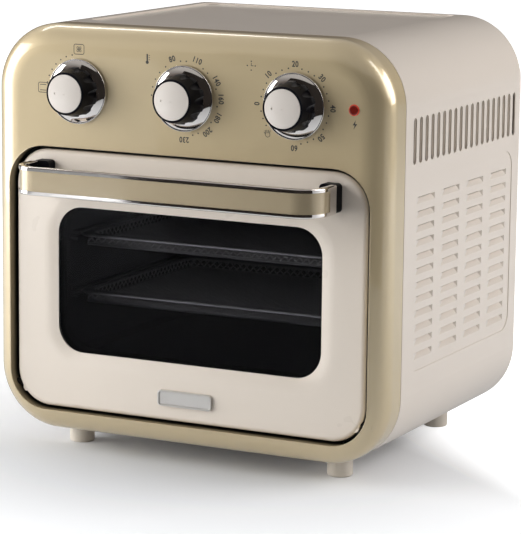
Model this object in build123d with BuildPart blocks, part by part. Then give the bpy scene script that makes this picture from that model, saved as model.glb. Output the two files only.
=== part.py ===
"""Countertop air fryer oven with a drop-down glass door, three dials and two mesh trays.

Frame: +X right, +Y to the back, +Z up, origin on the worktop under the middle of the whole object.
All sizes are in millimetres.
"""
import os

from build123d import *

# Casing
casing_width = 330.0
casing_height = 313.4
casing_depth = 255.0
casing_corner = 50.0
foot_height = 16.0
sheet = 1.0

# Front frame
frame_depth = 29.5
frame_roll = 15.0
frame_wall = 2.5
spigot_length = 6.0
spigot_root = 5.0
spigot_wall = 1.5
slip_gap = 0.3
close_gap = 0.1
seam_gap = 0.8

# Door and its opening
door_width = 296.0
door_height = 200.6
door_bottom = 34.1
door_corner = 28.0
door_recess = 4.0
door_skin = 3.0
door_pan_depth = 12.0
door_edge_round = 4.0
gap_side = 3.5
gap_top = 2.7
gap_bottom = 2.3
opening_corner = 30.5
return_wall = 2.2
return_depth = 27.0

# Window in the door
window_width = 223.0
window_height = 112.6
window_bottom = 78.7
window_corner = 21.0
surround_width = 8.0
surround_depth = 1.7
surround_round = 30.0
glass_drop = 2.4
glass_lap = 4.0
glass_thickness = 4.0
glass_gap = 0.4
inner_frame_depth = 9.0
inner_frame_margin_side = 12.0
inner_frame_margin_top = 10.0
inner_frame_foot = 24.0
inner_frame_corner = 16.0
inner_frame_round = 4.0
inner_frame_face = 1.5
inner_glass_lap = 2.5
inner_glass_thickness = 3.0
nose_thickness = 3.0

# Door hinge
hinge_up = 16.0
hinge_in = 4.0
pin_radius = 2.5
pin_running_gap = 0.05
pin_inner_x = 130.0
pin_outer_x = 154.0
lug_inner_x = 127.0
lug_outer_x = 143.0
lug_half = 4.0
boss_radius = 6.0
boss_inner_x = 146.0
boss_outer_x = 155.0

# Handle
handle_reach = 40.0
handle_half_span = 127.2
handle_bend = 20.0
handle_thickness = 5.0
handle_height = 21.5
handle_bottom = 205.0
handle_edge_round = 1.2
rail_height = 3.1
inlay_thickness = 1.0
inlay_step = 0.6
inlay_end = 16.0
block_width = 14.0
block_depth = 9.5
block_round = 3.0
handle_screw_radius = 2.0

# Badge plate, left without any lettering
badge_width = 45.5
badge_height = 12.0
badge_z = 52.2
badge_thickness = 2.4
badge_corner = 2.6
badge_rim = 1.3
badge_recess = 0.8

# Dials
dial_pitch = 90.3
dial_z = 280.3
skirt_radius = 24.5
skirt_height = 3.8
skirt_rim_height = 1.6
skirt_bead = 1.0
skirt_swell = 0.25
skirt_lap = 5.0
skirt_seat = 1.0
skirt_gap = 0.4
grip_base_radius = 18.8
grip_front_radius = 15.4
grip_height = 16.2
grip_foot_height = 4.0
grip_foot_draft = 0.4
grip_edge = 0.6
grip_notches = 10
notch_radius = 4.2
notch_depth = 2.0
cap_radius = 14.3
cap_seat = 1.0
cap_gap = 0.1
cap_mark_place = 7.9
cap_mark_radius = 0.7
cap_height = 2.2
cap_dome = 1.3
shaft_radius = 3.0
shaft_length = 46.0
shaft_reach = 13.0
shaft_play = 0.05
shaft_hole_gap = 1.0

# Indicator lamp
lamp_x = 137.5
lens_radius = 3.7
lens_rise = 1.2
lens_round = 1.1
lamp_holder_radius = 5.5
lamp_holder_length = 16.0

# Controls behind the dials
post_height = 10.0
post_radius = 3.5
post_span_x = 140.0
post_span_z = 46.0
bracket_plate_margin = 12.0
control_corner = 4.0
selector_size = (30.0, 24.0, 30.0)
thermostat_size = (34.0, 28.0, 40.0)
timer_size = (50.0, 30.0, 48.0)
bell_radius = 18.0
bell_height = 9.0
bell_post_radius = 3.6
bell_wall = 2.7
bell_skirt = 6.3
bell_taper = 8.0

# Shell vents
slot_count = 19
slot_pitch = 10.83
slot_width = 5.6
slot_length = 34.0
slot_top_drop = 57.9
slot_start = 47.0
field_start = 42.0
field_length = 199.0
field_top_drop = 103.2
field_height = 144.0
field_corner = 14.0
field_press = 0.6
louvre_columns = 4
louvre_rows = 12
louvre_pitch_y = 47.6
louvre_pitch_z = 10.6
louvre_length = 34.0
louvre_height = 5.0
louvre_press = 2.4
louvre_front_slope = 12.0
louvre_rear_slope = 2.0
louvre_slit = 1.3
top_recess_width = 224.0
top_recess_start = 50.0
top_recess_end = 250.0
top_recess_corner = 10.0
top_recess_depth = 1.5

# Rear cover, base plate and feet
rear_lip = 9.0
rear_inset = 4.0
rear_gap = 0.4
rear_slot_rows = 9
rear_slot_pitch = 9.0
rear_slot_size = (120.0, 4.0)
rear_slot_z = 262.0
screw_radius = 2.0
screw_head_radius = 3.6
screw_head_height = 2.0
screw_length = 7.0
screw_cross = 0.9
gland_x = 110.0
gland_z = 50.0
gland_bore = 3.6
gland_body = 7.5
gland_flange = 10.0
gland_length = 14.0
gland_flange_height = 2.0
base_width = 214.0
base_front = 44.0
base_back = 244.0
base_slot_size = (70.0, 4.0)
base_slot_pitch = 12.0
base_slot_count = 7
foot_radius = 9.7
foot_x = 111.7
foot_front = 41.4
foot_back = 223.3
foot_round = 1.5

# Oven cavity
cavity_half_width = 120.0
cavity_floor = 68.0
cavity_top = 214.0
cavity_back = 236.0
cavity_corner = 6.0
flange_margin = 1.0
dome_radius = 74.0
dome_height = 24.0
dome_round = 8.0
dome_flange = 8.0
rail_width = 5.8
rail_thickness = 2.0
rail_front = 40.0
rail_back = 230.0

# Mesh trays and drip tray
tray_rim_top = (164.0, 119.0)
tray_rim_height = 2.4
tray_side_gap = 0.6
tray_rail_gap = 0.3
tray_front = 44.0
tray_length = 184.0
tray_corner = 14.0
tray_rim_width = 7.5
tray_drop = 9.0
tray_sheet = 1.0
mesh_columns = 13
mesh_rows = 9
mesh_pitch = 16.6
mesh_hole = 10.5
front_mesh_count = 20
front_mesh_hole = 4.4
drip_height = 8.0
drip_gap = 0.3
drip_front = 30.0
drip_length = 200.0
drip_side_gap = 6.5
drip_corner = 8.0

# Heater, guard and fans
fan_from_face = 132.0
heater_z = 207.0
heater_tube = 3.2
heater_half_width = 84.0
heater_half_depth = 62.0
heater_corner = 26.0
heater_leg_x = 16.0
heater_leg_bend = 9.0
heater_tail = 12.0
heater_hole_gap = 0.5
guard_half_width = 98.0
guard_half_depth = 78.0
guard_z = 200.0
guard_corner = 14.0
guard_rings = ((18.0, 6, 19.5), (34.0, 12, 13.5), (50.0, 16, 11.2), (66.0, 18, 10.5))
guard_slot_width = 5.0
guard_hole_radius = 5.0
rotor_radius = 58.0
rotor_low = 220.0
rotor_plate = 1.2
rotor_blade_height = 11.0
rotor_blades = 8
rotor_blade_thickness = 1.2
rotor_blade_tilt = 12.0
blade_margin = 4.0
rotor_hub_radius = 8.0
rotor_shaft_radius = 2.5
rotor_shaft_low = 216.5
rotor_shaft_high = 308.0
shaft_clear = 1.5
motor_low = 252.0
motor_radius = 32.0
motor_height = 36.0
motor_round = 3.0
bridge_half_length = 92.0
bridge_half_width = 16.0
bridge_sheet = 1.5
bridge_foot = 12.0
cooling_low = 294.0
cooling_radius = 44.0
cooling_blades = 9
cooling_blade_height = 10.0
cooling_blade_tilt = 8.0

# Small parts inside
cutout_radius = 8.0
cutout_height = 9.0
cutout_flange = 21.0
cutout_x = 95.0
cutout_from_face = 215.0
terminal_size = (44.0, 18.0, 16.0)
terminal_x = 60.0
terminal_from_face = 225.0
terminal_pitch = 11.0
terminal_well_radius = 3.0
terminal_well_depth = 5.3

# Places worked out from the sizes above
face_y = handle_reach - (casing_depth + handle_reach) / 2
rear_y = face_y + casing_depth
shell_front_y = face_y + frame_depth + seam_gap
casing_top = foot_height + casing_height
casing_mid_z = foot_height + casing_height / 2
door_y = face_y + door_recess
door_top = door_bottom + door_height
door_mid_z = door_bottom + door_height / 2
door_back_y = door_y + door_pan_depth
inner_back_y = door_back_y + inner_frame_depth
opening_width = door_width + 2 * gap_side
opening_bottom = door_bottom - gap_bottom
opening_height = door_height + gap_bottom + gap_top
opening_mid_z = opening_bottom + opening_height / 2
window_mid_z = window_bottom + window_height / 2
hinge_y = door_y + hinge_in
hinge_z = door_bottom + hinge_up
handle_mid_z = handle_bottom + handle_height / 2
handle_front_y = face_y - handle_reach
block_front_y = door_y - block_depth
post_y = face_y + frame_wall
plate_y = post_y + post_height
fan_y = face_y + fan_from_face
liner_front_y = face_y + return_depth
cavity_back_y = face_y + cavity_back
cavity_mid_z = (cavity_floor + cavity_top) / 2
dome_top = cavity_top + dome_height
dial_places = (-dial_pitch, 0.0, dial_pitch)
dial_names = ("selector", "temperature", "timer")


def front_plane(y):
    """Sketch plane that faces the front at the given Y: sketch x is X, sketch y is Z."""
    return Plane(origin=(0, y, 0), x_dir=(1, 0, 0), z_dir=(0, -1, 0))


def level_plane(z):
    """Horizontal sketch plane at the given height."""
    return Plane.XY.offset(z)


def side_plane(x):
    """Sketch plane that faces right at the given X: sketch x is Y, sketch y is Z."""
    return Plane(origin=(x, 0, 0), x_dir=(0, 1, 0), z_dir=(1, 0, 0))


def axial_plane(x, z):
    """Half plane through a dial's axis: sketch x is the radius, sketch y is Y from the face."""
    return Plane(origin=(x, face_y, z), x_dir=(1, 0, 0), z_dir=(0, 0, 1))


def dial_axis(x, z):
    """Axis of a dial, towards the back."""
    return Axis((x, face_y, z), (0, 1, 0))


# Front frame: a hollow rolled bezel with the door's opening and a spigot under the shell
with BuildPart() as frame_core:
    with BuildSketch(front_plane(face_y + frame_wall)):
        with Locations((0, casing_mid_z)):
            RectangleRounded(
                casing_width - 2 * frame_wall,
                casing_height - 2 * frame_wall,
                casing_corner - frame_wall,
            )
    extrude(amount=-frame_depth)
    fillet(frame_core.faces().sort_by(Axis.Y)[0].edges(), frame_roll - frame_wall)

with BuildPart() as front_frame:
    with BuildSketch(front_plane(face_y)):
        with Locations((0, casing_mid_z)):
            RectangleRounded(casing_width, casing_height, casing_corner)
    extrude(amount=-frame_depth)
    fillet(front_frame.faces().sort_by(Axis.Y)[0].edges(), frame_roll)
    add(frame_core.part, mode=Mode.SUBTRACT)
    # Spigot that the shell slides over
    spigot_inset = sheet + slip_gap
    spigot_start_y = face_y + frame_depth - spigot_root
    with BuildSketch(front_plane(spigot_start_y)):
        with Locations((0, casing_mid_z)):
            RectangleRounded(
                casing_width - 2 * spigot_inset,
                casing_height - 2 * spigot_inset,
                casing_corner - spigot_inset,
            )
            RectangleRounded(
                casing_width - 2 * (spigot_inset + spigot_wall),
                casing_height - 2 * (spigot_inset + spigot_wall),
                casing_corner - spigot_inset - spigot_wall,
                mode=Mode.SUBTRACT,
            )
    extrude(amount=-(spigot_root + spigot_length))
    # Return wall round the door's opening
    with BuildSketch(front_plane(face_y + frame_wall / 2)):
        with Locations((0, opening_mid_z)):
            RectangleRounded(
                opening_width + 2 * return_wall,
                opening_height + 2 * return_wall,
                opening_corner + return_wall,
            )
    extrude(amount=-(return_depth - frame_wall / 2))
    # Bosses for the hinge pins, cut back to the opening together with the wall
    for side in (-1, 1):
        with BuildSketch(side_plane(side * boss_inner_x)):
            with Locations((hinge_y, hinge_z)):
                Circle(boss_radius)
        extrude(amount=side * (boss_outer_x - boss_inner_x))
    with BuildSketch(front_plane(face_y - frame_wall)):
        with Locations((0, opening_mid_z)):
            RectangleRounded(opening_width, opening_height, opening_corner)
    extrude(amount=-(return_depth + 2 * frame_wall), mode=Mode.SUBTRACT)
    # Posts that carry the bracket of the controls
    with BuildSketch(front_plane(post_y)):
        with Locations((0, dial_z)):
            with GridLocations(2 * post_span_x, post_span_z, 2, 2):
                Circle(post_radius)
    extrude(amount=-post_height)
    # Holes for the shafts, the lamp and the hinge pins
    with BuildSketch(front_plane(face_y - frame_wall)):
        with Locations((0, dial_z)):
            with GridLocations(dial_pitch, 0, len(dial_places), 1):
                Circle(shaft_radius + shaft_hole_gap)
        with Locations((lamp_x, dial_z)):
            Circle(lens_radius + close_gap)
    extrude(amount=-3 * frame_wall, mode=Mode.SUBTRACT)
    with BuildSketch(side_plane(-boss_outer_x)):
        with Locations((hinge_y, hinge_z)):
            Circle(pin_radius + pin_running_gap)
    extrude(amount=2 * boss_outer_x, mode=Mode.SUBTRACT)


# Shell: one sheet wrapped round top, sides and bottom, with slots and pressed louvres
shell_depth = rear_y - shell_front_y
slot_mid_z = casing_top - slot_top_drop - slot_length / 2
slot_mid_y = face_y + slot_start + (slot_count - 1) * slot_pitch / 2
field_mid_y = face_y + field_start + field_length / 2
field_mid_z = casing_top - field_top_drop - field_height / 2
recess_mid_y = face_y + (top_recess_start + top_recess_end) / 2
recess_length = top_recess_end - top_recess_start
wall_half = casing_width / 2
press_x = wall_half - field_press
plate_length = louvre_columns * louvre_pitch_y
plate_height = louvre_rows * louvre_pitch_z
slit_length = louvre_length - louvre_rear_slope - louvre_front_slope / 2
slit_shift = (louvre_front_slope / 2 - louvre_rear_slope) / 2


def louvre_press_block(thickness):
    """One louvre on the right side: the bare press (thickness 0) or the press with its sheet."""
    length = louvre_length + 2 * thickness
    height = louvre_height + thickness
    depth = louvre_press + thickness
    deep_length = length - louvre_front_slope - louvre_rear_slope
    deep_shift = (louvre_front_slope - louvre_rear_slope) / 2
    with BuildPart() as block:
        with BuildSketch(side_plane(press_x)):
            with Locations((0, -height / 2 + thickness / 2)):
                Rectangle(length, height)
        with BuildSketch(side_plane(press_x - depth)):
            with Locations((deep_shift, thickness / 2 - louvre_slit / 2)):
                Rectangle(deep_length, louvre_slit)
        loft(ruled=True)
    return block.part


# Louvred middle of the right side: presses with their sheet, hollowed, slit along the top edges
louvre_grid = GridLocations(louvre_pitch_y, louvre_pitch_z, louvre_columns, louvre_rows).locations
louvre_places = [
    Location((0, field_mid_y + spot.position.X, field_mid_z + spot.position.Y))
    for spot in louvre_grid
]
with BuildPart() as louvre_plate:
    with BuildSketch(side_plane(press_x)):
        with Locations((field_mid_y, field_mid_z)):
            Rectangle(plate_length, plate_height)
    extrude(amount=-sheet)
    with Locations(*louvre_places):
        add(louvre_press_block(sheet))
    with Locations(*louvre_places):
        add(louvre_press_block(0.0), mode=Mode.SUBTRACT)
    with BuildSketch(side_plane(press_x + sheet)):
        with Locations((field_mid_y + slit_shift, field_mid_z - louvre_slit / 2)):
            with GridLocations(louvre_pitch_y, louvre_pitch_z, louvre_columns, louvre_rows):
                Rectangle(slit_length, louvre_slit)
    extrude(amount=-(louvre_press + 4 * sheet), mode=Mode.SUBTRACT)

with BuildPart() as outer_shell:
    with BuildSketch(front_plane(shell_front_y)):
        with Locations((0, casing_mid_z)):
            RectangleRounded(casing_width, casing_height, casing_corner)
            RectangleRounded(
                casing_width - 2 * sheet,
                casing_height - 2 * sheet,
                casing_corner - sheet,
                mode=Mode.SUBTRACT,
            )
    extrude(amount=-shell_depth)
    # Rear lip that the rear cover is screwed to
    with BuildSketch(front_plane(rear_y - rear_inset - sheet)):
        with Locations((0, casing_mid_z)):
            RectangleRounded(casing_width - sheet, casing_height - sheet, casing_corner - sheet / 2)
            RectangleRounded(
                casing_width - 2 * rear_lip,
                casing_height - 2 * rear_lip,
                casing_corner - rear_lip,
                mode=Mode.SUBTRACT,
            )
    extrude(amount=-sheet)
    # Shallow recess in the top
    with BuildSketch(level_plane(casing_top - sheet / 2)):
        with Locations((0, recess_mid_y)):
            RectangleRounded(
                top_recess_width + 2 * sheet, recess_length + 2 * sheet, top_recess_corner + sheet
            )
    extrude(amount=-(sheet / 2 + top_recess_depth))
    with BuildSketch(level_plane(casing_top)):
        with Locations((0, recess_mid_y)):
            RectangleRounded(top_recess_width, recess_length, top_recess_corner)
    extrude(amount=-top_recess_depth, mode=Mode.SUBTRACT)
    # Screw holes in the rear lip and under the feet
    rear_screw_x = wall_half - rear_lip / 2 - sheet / 2
    rear_screw_z = casing_height / 2 - casing_corner
    rear_screw_places = [
        (sx * rear_screw_x, casing_mid_z + sz * rear_screw_z) for sx in (-1, 1) for sz in (-1, 1)
    ]
    with BuildSketch(front_plane(rear_y - rear_inset - 2 * sheet)):
        with Locations(*rear_screw_places):
            Circle(screw_radius + slip_gap)
    extrude(amount=-3 * sheet, mode=Mode.SUBTRACT)
    foot_places = [(sx * foot_x, face_y + fy) for fy in (foot_front, foot_back) for sx in (-1, 1)]
    with BuildSketch(level_plane(foot_height - sheet)):
        with Locations(*foot_places):
            Circle(screw_radius + slip_gap)
    extrude(amount=3 * sheet, mode=Mode.SUBTRACT)
    # Air slots in the bottom
    base_mid_y = face_y + (base_front + base_back) / 2
    with BuildSketch(level_plane(foot_height - sheet)):
        with Locations((0, base_mid_y)):
            with GridLocations(0, base_slot_pitch, 1, base_slot_count):
                SlotOverall(*base_slot_size)
    extrude(amount=3 * sheet, mode=Mode.SUBTRACT)
    # Pressed field on both sides, with a window that the louvred middle fills
    for side in (-1, 1):
        with BuildSketch(side_plane(side * (wall_half - sheet / 2))):
            with Locations((field_mid_y, field_mid_z)):
                RectangleRounded(field_length, field_height, field_corner)
        extrude(amount=-side * (sheet / 2 + field_press))
        with BuildSketch(side_plane(side * wall_half)):
            with Locations((field_mid_y, field_mid_z)):
                RectangleRounded(field_length, field_height, field_corner)
        extrude(amount=-side * field_press, mode=Mode.SUBTRACT)
        with BuildSketch(side_plane(side * (wall_half + sheet))):
            with Locations((field_mid_y, field_mid_z)):
                Rectangle(plate_length, plate_height)
        extrude(amount=-side * 4 * sheet, mode=Mode.SUBTRACT)
    # Slots above the field, through both sides at once
    with BuildSketch(side_plane(wall_half + sheet)):
        with Locations((slot_mid_y, slot_mid_z)):
            with GridLocations(slot_pitch, 0, slot_count, 1):
                SlotOverall(slot_length, slot_width, rotation=90)
    extrude(amount=-2 * (wall_half + sheet), mode=Mode.SUBTRACT)
    add(louvre_plate.part)
    add(mirror(louvre_plate.part, about=Plane.YZ, mode=Mode.PRIVATE))


# Rear cover with its vents and the hole for the gland
cover_y = rear_y - rear_inset
with BuildPart() as rear_cover:
    cover_inset = sheet + rear_gap
    with BuildSketch(front_plane(cover_y)):
        with Locations((0, casing_mid_z)):
            RectangleRounded(
                casing_width - 2 * cover_inset,
                casing_height - 2 * cover_inset,
                casing_corner - cover_inset,
            )
        with Locations((0, rear_slot_z)):
            with GridLocations(0, rear_slot_pitch, 1, rear_slot_rows):
                SlotOverall(*rear_slot_size, mode=Mode.SUBTRACT)
        with Locations((gland_x, gland_z)):
            Circle(gland_body + slip_gap, mode=Mode.SUBTRACT)
        with Locations(*rear_screw_places):
            Circle(screw_radius + slip_gap, mode=Mode.SUBTRACT)
    extrude(amount=-sheet)


def screw_row(plane, places, head_out):
    """Pan head screws: the plane is the seat of the heads, head_out the way the heads stand."""
    with BuildPart() as screws:
        with BuildSketch(plane):
            with Locations(*places):
                Circle(screw_head_radius)
        extrude(amount=head_out * screw_head_height)
        with BuildSketch(plane):
            with Locations(*places):
                Circle(screw_radius)
        extrude(amount=-head_out * screw_length)
        with BuildSketch(plane.offset(head_out * screw_head_height)):
            with Locations(*places):
                Rectangle(screw_head_radius, screw_cross)
                Rectangle(screw_cross, screw_head_radius)
        extrude(amount=-head_out * screw_head_height / 2, mode=Mode.SUBTRACT)
    return screws


rear_screws = screw_row(front_plane(cover_y + sheet), rear_screw_places, -1)

# Cable gland in the rear cover
with BuildPart() as cable_gland:
    with BuildSketch(front_plane(cover_y + sheet)):
        with Locations((gland_x, gland_z)):
            Circle(gland_flange)
    extrude(amount=-gland_flange_height)
    with BuildSketch(front_plane(cover_y + sheet)):
        with Locations((gland_x, gland_z)):
            Circle(gland_body)
    extrude(amount=gland_length - gland_flange_height)
    with BuildSketch(front_plane(cover_y + sheet + gland_flange_height)):
        with Locations((gland_x, gland_z)):
            Circle(gland_bore)
    extrude(amount=gland_length, mode=Mode.SUBTRACT)

# Base plate inside the bottom of the shell
base_z = foot_height + sheet
with BuildPart() as base_plate:
    with BuildSketch(level_plane(base_z)):
        with Locations((0, base_mid_y)):
            Rectangle(base_width, base_back - base_front)
            with GridLocations(0, base_slot_pitch, 1, base_slot_count):
                SlotOverall(*base_slot_size, mode=Mode.SUBTRACT)
        with Locations(*foot_places):
            Circle(foot_radius + 2 * slip_gap, mode=Mode.SUBTRACT)
    extrude(amount=sheet)

# Feet, and the washers and screws that hold them
foot_names = ("foot_front_left", "foot_front_right", "foot_rear_left", "foot_rear_right")
feet = {}
for foot_name, foot_place in zip(foot_names, foot_places):
    with BuildPart() as foot:
        with BuildSketch(level_plane(0)):
            with Locations(foot_place):
                Circle(foot_radius)
        extrude(amount=foot_height)
        fillet(foot.edges().group_by(Axis.Z)[0], foot_round)
        with BuildSketch(level_plane(foot_height)):
            with Locations(foot_place):
                Circle(screw_radius + slip_gap)
        extrude(amount=-(screw_length + sheet), mode=Mode.SUBTRACT)
    feet[foot_name] = foot

foot_screws = screw_row(level_plane(base_z), foot_places, 1)


# Door: outer pan, glass, inner frame, inner glass
with BuildPart() as door_frame:
    with BuildSketch(front_plane(door_y)):
        with Locations((0, door_mid_z)):
            RectangleRounded(door_width, door_height, door_corner)
    extrude(amount=-door_pan_depth)
    fillet(door_frame.faces().sort_by(Axis.Y)[0].edges(), door_edge_round)
    # Hollow back, with a rim left round the window
    rim_width = window_width + 2 * (surround_width + door_skin)
    rim_height = window_height + 2 * (surround_width + door_skin)
    with BuildSketch(front_plane(door_y + door_skin)):
        with Locations((0, door_mid_z)):
            RectangleRounded(
                door_width - 2 * door_edge_round,
                door_height - 2 * door_edge_round,
                door_corner - door_edge_round,
            )
        with Locations((0, window_mid_z)):
            RectangleRounded(
                rim_width, rim_height, window_corner + surround_width + door_skin, mode=Mode.SUBTRACT
            )
    extrude(amount=-door_pan_depth, mode=Mode.SUBTRACT)
    # Sloping surround, window and the seat of the glass
    with BuildSketch(front_plane(door_y)):
        with Locations((0, window_mid_z)):
            RectangleRounded(
                window_width + 2 * surround_width,
                window_height + 2 * surround_width,
                window_corner + surround_width,
            )
    with BuildSketch(front_plane(door_y + surround_depth)):
        with Locations((0, window_mid_z)):
            RectangleRounded(window_width, window_height, window_corner)
    loft(ruled=True, mode=Mode.SUBTRACT)
    door_face = door_frame.faces().filter_by(GeomType.PLANE).sort_by(Axis.Y)[0]
    fillet(door_face.inner_wires()[0].edges(), surround_round)
    with BuildSketch(front_plane(door_y)):
        with Locations((0, window_mid_z)):
            RectangleRounded(window_width, window_height, window_corner)
    extrude(amount=-door_pan_depth, mode=Mode.SUBTRACT)
    seat_y = door_y + glass_drop
    with BuildSketch(front_plane(seat_y)):
        with Locations((0, window_mid_z)):
            RectangleRounded(
                window_width + 2 * (glass_lap + glass_gap),
                window_height + 2 * (glass_lap + glass_gap),
                window_corner + glass_lap + glass_gap,
            )
    extrude(amount=-door_pan_depth, mode=Mode.SUBTRACT)
    # Lugs for the hinge pins
    for side in (-1, 1):
        with BuildSketch(side_plane(side * lug_inner_x)):
            with Locations((door_y + door_pan_depth / 2, hinge_z)):
                Rectangle(door_pan_depth - 2 * sheet, 2 * (pin_radius + lug_half))
        extrude(amount=side * (lug_outer_x - lug_inner_x))
        with BuildSketch(side_plane(side * pin_inner_x)):
            with Locations((hinge_y, hinge_z)):
                Circle(pin_radius)
        extrude(amount=side * pin_outer_x, mode=Mode.SUBTRACT)
    # Screw holes of the handle
    handle_screw_x = handle_half_span - block_width / 2
    handle_screw_places = [(-handle_screw_x, handle_mid_z), (handle_screw_x, handle_mid_z)]
    with BuildSketch(front_plane(door_y - sheet)):
        with Locations(*handle_screw_places):
            Circle(handle_screw_radius + close_gap)
    extrude(amount=-(door_skin + 2 * sheet), mode=Mode.SUBTRACT)

with BuildPart() as door_glass:
    with BuildSketch(front_plane(seat_y)):
        with Locations((0, window_mid_z)):
            RectangleRounded(
                window_width + 2 * glass_lap, window_height + 2 * glass_lap, window_corner + glass_lap
            )
    extrude(amount=-glass_thickness)

inner_bottom = door_bottom + inner_frame_foot
inner_top = door_top - inner_frame_margin_top
inner_width = door_width - 2 * inner_frame_margin_side
inner_mid_z = (inner_bottom + inner_top) / 2
inner_height = inner_top - inner_bottom
with BuildPart() as door_inner_frame:
    with BuildSketch(front_plane(door_back_y)):
        with Locations((0, inner_mid_z)):
            RectangleRounded(inner_width, inner_height, inner_frame_corner)
    extrude(amount=-inner_frame_depth)
    fillet(door_inner_frame.faces().sort_by(Axis.Y)[-1].edges(), inner_frame_round)
    # Hollow front, with a wall left round the window
    with BuildSketch(front_plane(door_back_y)):
        with Locations((0, inner_mid_z)):
            RectangleRounded(
                inner_width - 2 * door_skin, inner_height - 2 * door_skin, inner_frame_corner - door_skin
            )
        with Locations((0, window_mid_z)):
            RectangleRounded(
                window_width + 2 * (glass_lap + door_skin),
                window_height + 2 * (glass_lap + door_skin),
                window_corner,
                mode=Mode.SUBTRACT,
            )
    extrude(amount=-(inner_frame_depth - inner_frame_face), mode=Mode.SUBTRACT)
    # Window and the seat of the inner glass
    with BuildSketch(front_plane(door_back_y)):
        with Locations((0, window_mid_z)):
            RectangleRounded(window_width, window_height, window_corner)
    extrude(amount=-inner_frame_depth, mode=Mode.SUBTRACT)
    inner_seat_y = inner_back_y - inner_frame_face - inner_glass_thickness
    with BuildSketch(front_plane(door_back_y)):
        with Locations((0, window_mid_z)):
            RectangleRounded(
                window_width + 2 * (inner_glass_lap + glass_gap),
                window_height + 2 * (inner_glass_lap + glass_gap),
                window_corner,
            )
    extrude(amount=-(inner_frame_depth - inner_frame_face), mode=Mode.SUBTRACT)
    # Noses that press the outer glass onto its seat
    nose_length = door_back_y - (seat_y + glass_thickness)
    nose_width = window_width + 2 * glass_lap - nose_thickness
    nose_height = window_height + 2 * glass_lap - nose_thickness
    with BuildSketch(front_plane(door_back_y)):
        with Locations((0, window_mid_z)):
            with GridLocations(nose_width, 0, 2, 1):
                Rectangle(nose_thickness, window_height / 2)
            with GridLocations(0, nose_height, 1, 2):
                Rectangle(window_width / 2, nose_thickness)
    extrude(amount=nose_length)

with BuildPart() as door_inner_glass:
    with BuildSketch(front_plane(inner_seat_y)):
        with Locations((0, window_mid_z)):
            RectangleRounded(
                window_width + 2 * inner_glass_lap,
                window_height + 2 * inner_glass_lap,
                window_corner,
            )
    extrude(amount=-inner_glass_thickness)

# Hinge pins, fixed in the door's lugs
with BuildPart() as door_hinge_pins:
    for side in (-1, 1):
        with BuildSketch(side_plane(side * pin_inner_x)):
            with Locations((hinge_y, hinge_z)):
                Circle(pin_radius)
        extrude(amount=side * (pin_outer_x - pin_inner_x))


# Handle: chrome bar bent back to two black blocks, with a painted inlay on its front
def handle_strip(outer_inset, thickness, end_y, bottom, height):
    """Bent strip that follows the handle, a given way inside its outer face."""
    reach = handle_half_span - outer_inset
    front = handle_front_y + outer_inset
    radius = handle_bend - outer_inset
    inner_reach = reach - thickness
    inner_front = front + thickness
    with BuildPart() as strip:
        with BuildSketch(level_plane(bottom)):
            with BuildLine():
                outer = FilletPolyline(
                    (-reach, end_y), (-reach, front), (reach, front), (reach, end_y), radius=radius
                )
                inner = FilletPolyline(
                    (-inner_reach, end_y),
                    (-inner_reach, inner_front),
                    (inner_reach, inner_front),
                    (inner_reach, end_y),
                    radius=radius - thickness,
                )
                Line(outer @ 0, inner @ 0)
                Line(outer @ 1, inner @ 1)
            make_face()
        extrude(amount=height)
    return strip


inlay_height = handle_height - 2 * rail_height
inlay_end_y = face_y - inlay_end
inlay_pocket = handle_strip(
    0, inlay_thickness + inlay_step, inlay_end_y, handle_bottom + rail_height, inlay_height
)
with BuildPart() as handle_bar:
    add(handle_strip(0, handle_thickness, block_front_y, handle_bottom, handle_height).part)
    rail_edges = handle_bar.edges().group_by(Axis.Z)
    fillet(rail_edges[0] + rail_edges[-1], handle_edge_round)
    add(inlay_pocket.part, mode=Mode.SUBTRACT)

handle_inlay = handle_strip(
    inlay_step, inlay_thickness, inlay_end_y, handle_bottom + rail_height, inlay_height
)

blocks = {}
for side, block_name in ((-1, "handle_block_left"), (1, "handle_block_right")):
    with BuildPart() as handle_block:
        with BuildSketch(front_plane(door_y)):
            with Locations((side * handle_screw_x, handle_mid_z)):
                Rectangle(block_width, handle_height)
        extrude(amount=block_depth)
        fillet(handle_block.edges().filter_by(Axis.Y), block_round)
        with BuildSketch(front_plane(door_y)):
            with Locations((side * handle_screw_x, handle_mid_z)):
                Circle(handle_screw_radius)
        extrude(amount=block_depth - sheet, mode=Mode.SUBTRACT)
    blocks[block_name] = handle_block

with BuildPart() as handle_screws:
    head_y = door_y + door_skin
    with BuildSketch(front_plane(head_y)):
        with Locations(*handle_screw_places):
            Circle(screw_head_radius)
    extrude(amount=-screw_head_height)
    with BuildSketch(front_plane(head_y)):
        with Locations(*handle_screw_places):
            Circle(handle_screw_radius)
    extrude(amount=door_skin + block_depth - 2 * sheet)

# Blank badge plate with a raised rim
with BuildPart() as badge_plate:
    with BuildSketch(front_plane(door_y)):
        with Locations((0, badge_z)):
            RectangleRounded(badge_width, badge_height, badge_corner)
    extrude(amount=badge_thickness)
    with BuildSketch(front_plane(door_y - badge_thickness)):
        with Locations((0, badge_z)):
            RectangleRounded(
                badge_width - 2 * badge_rim, badge_height - 2 * badge_rim, badge_corner - badge_rim
            )
    extrude(amount=-badge_recess, mode=Mode.SUBTRACT)


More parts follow.
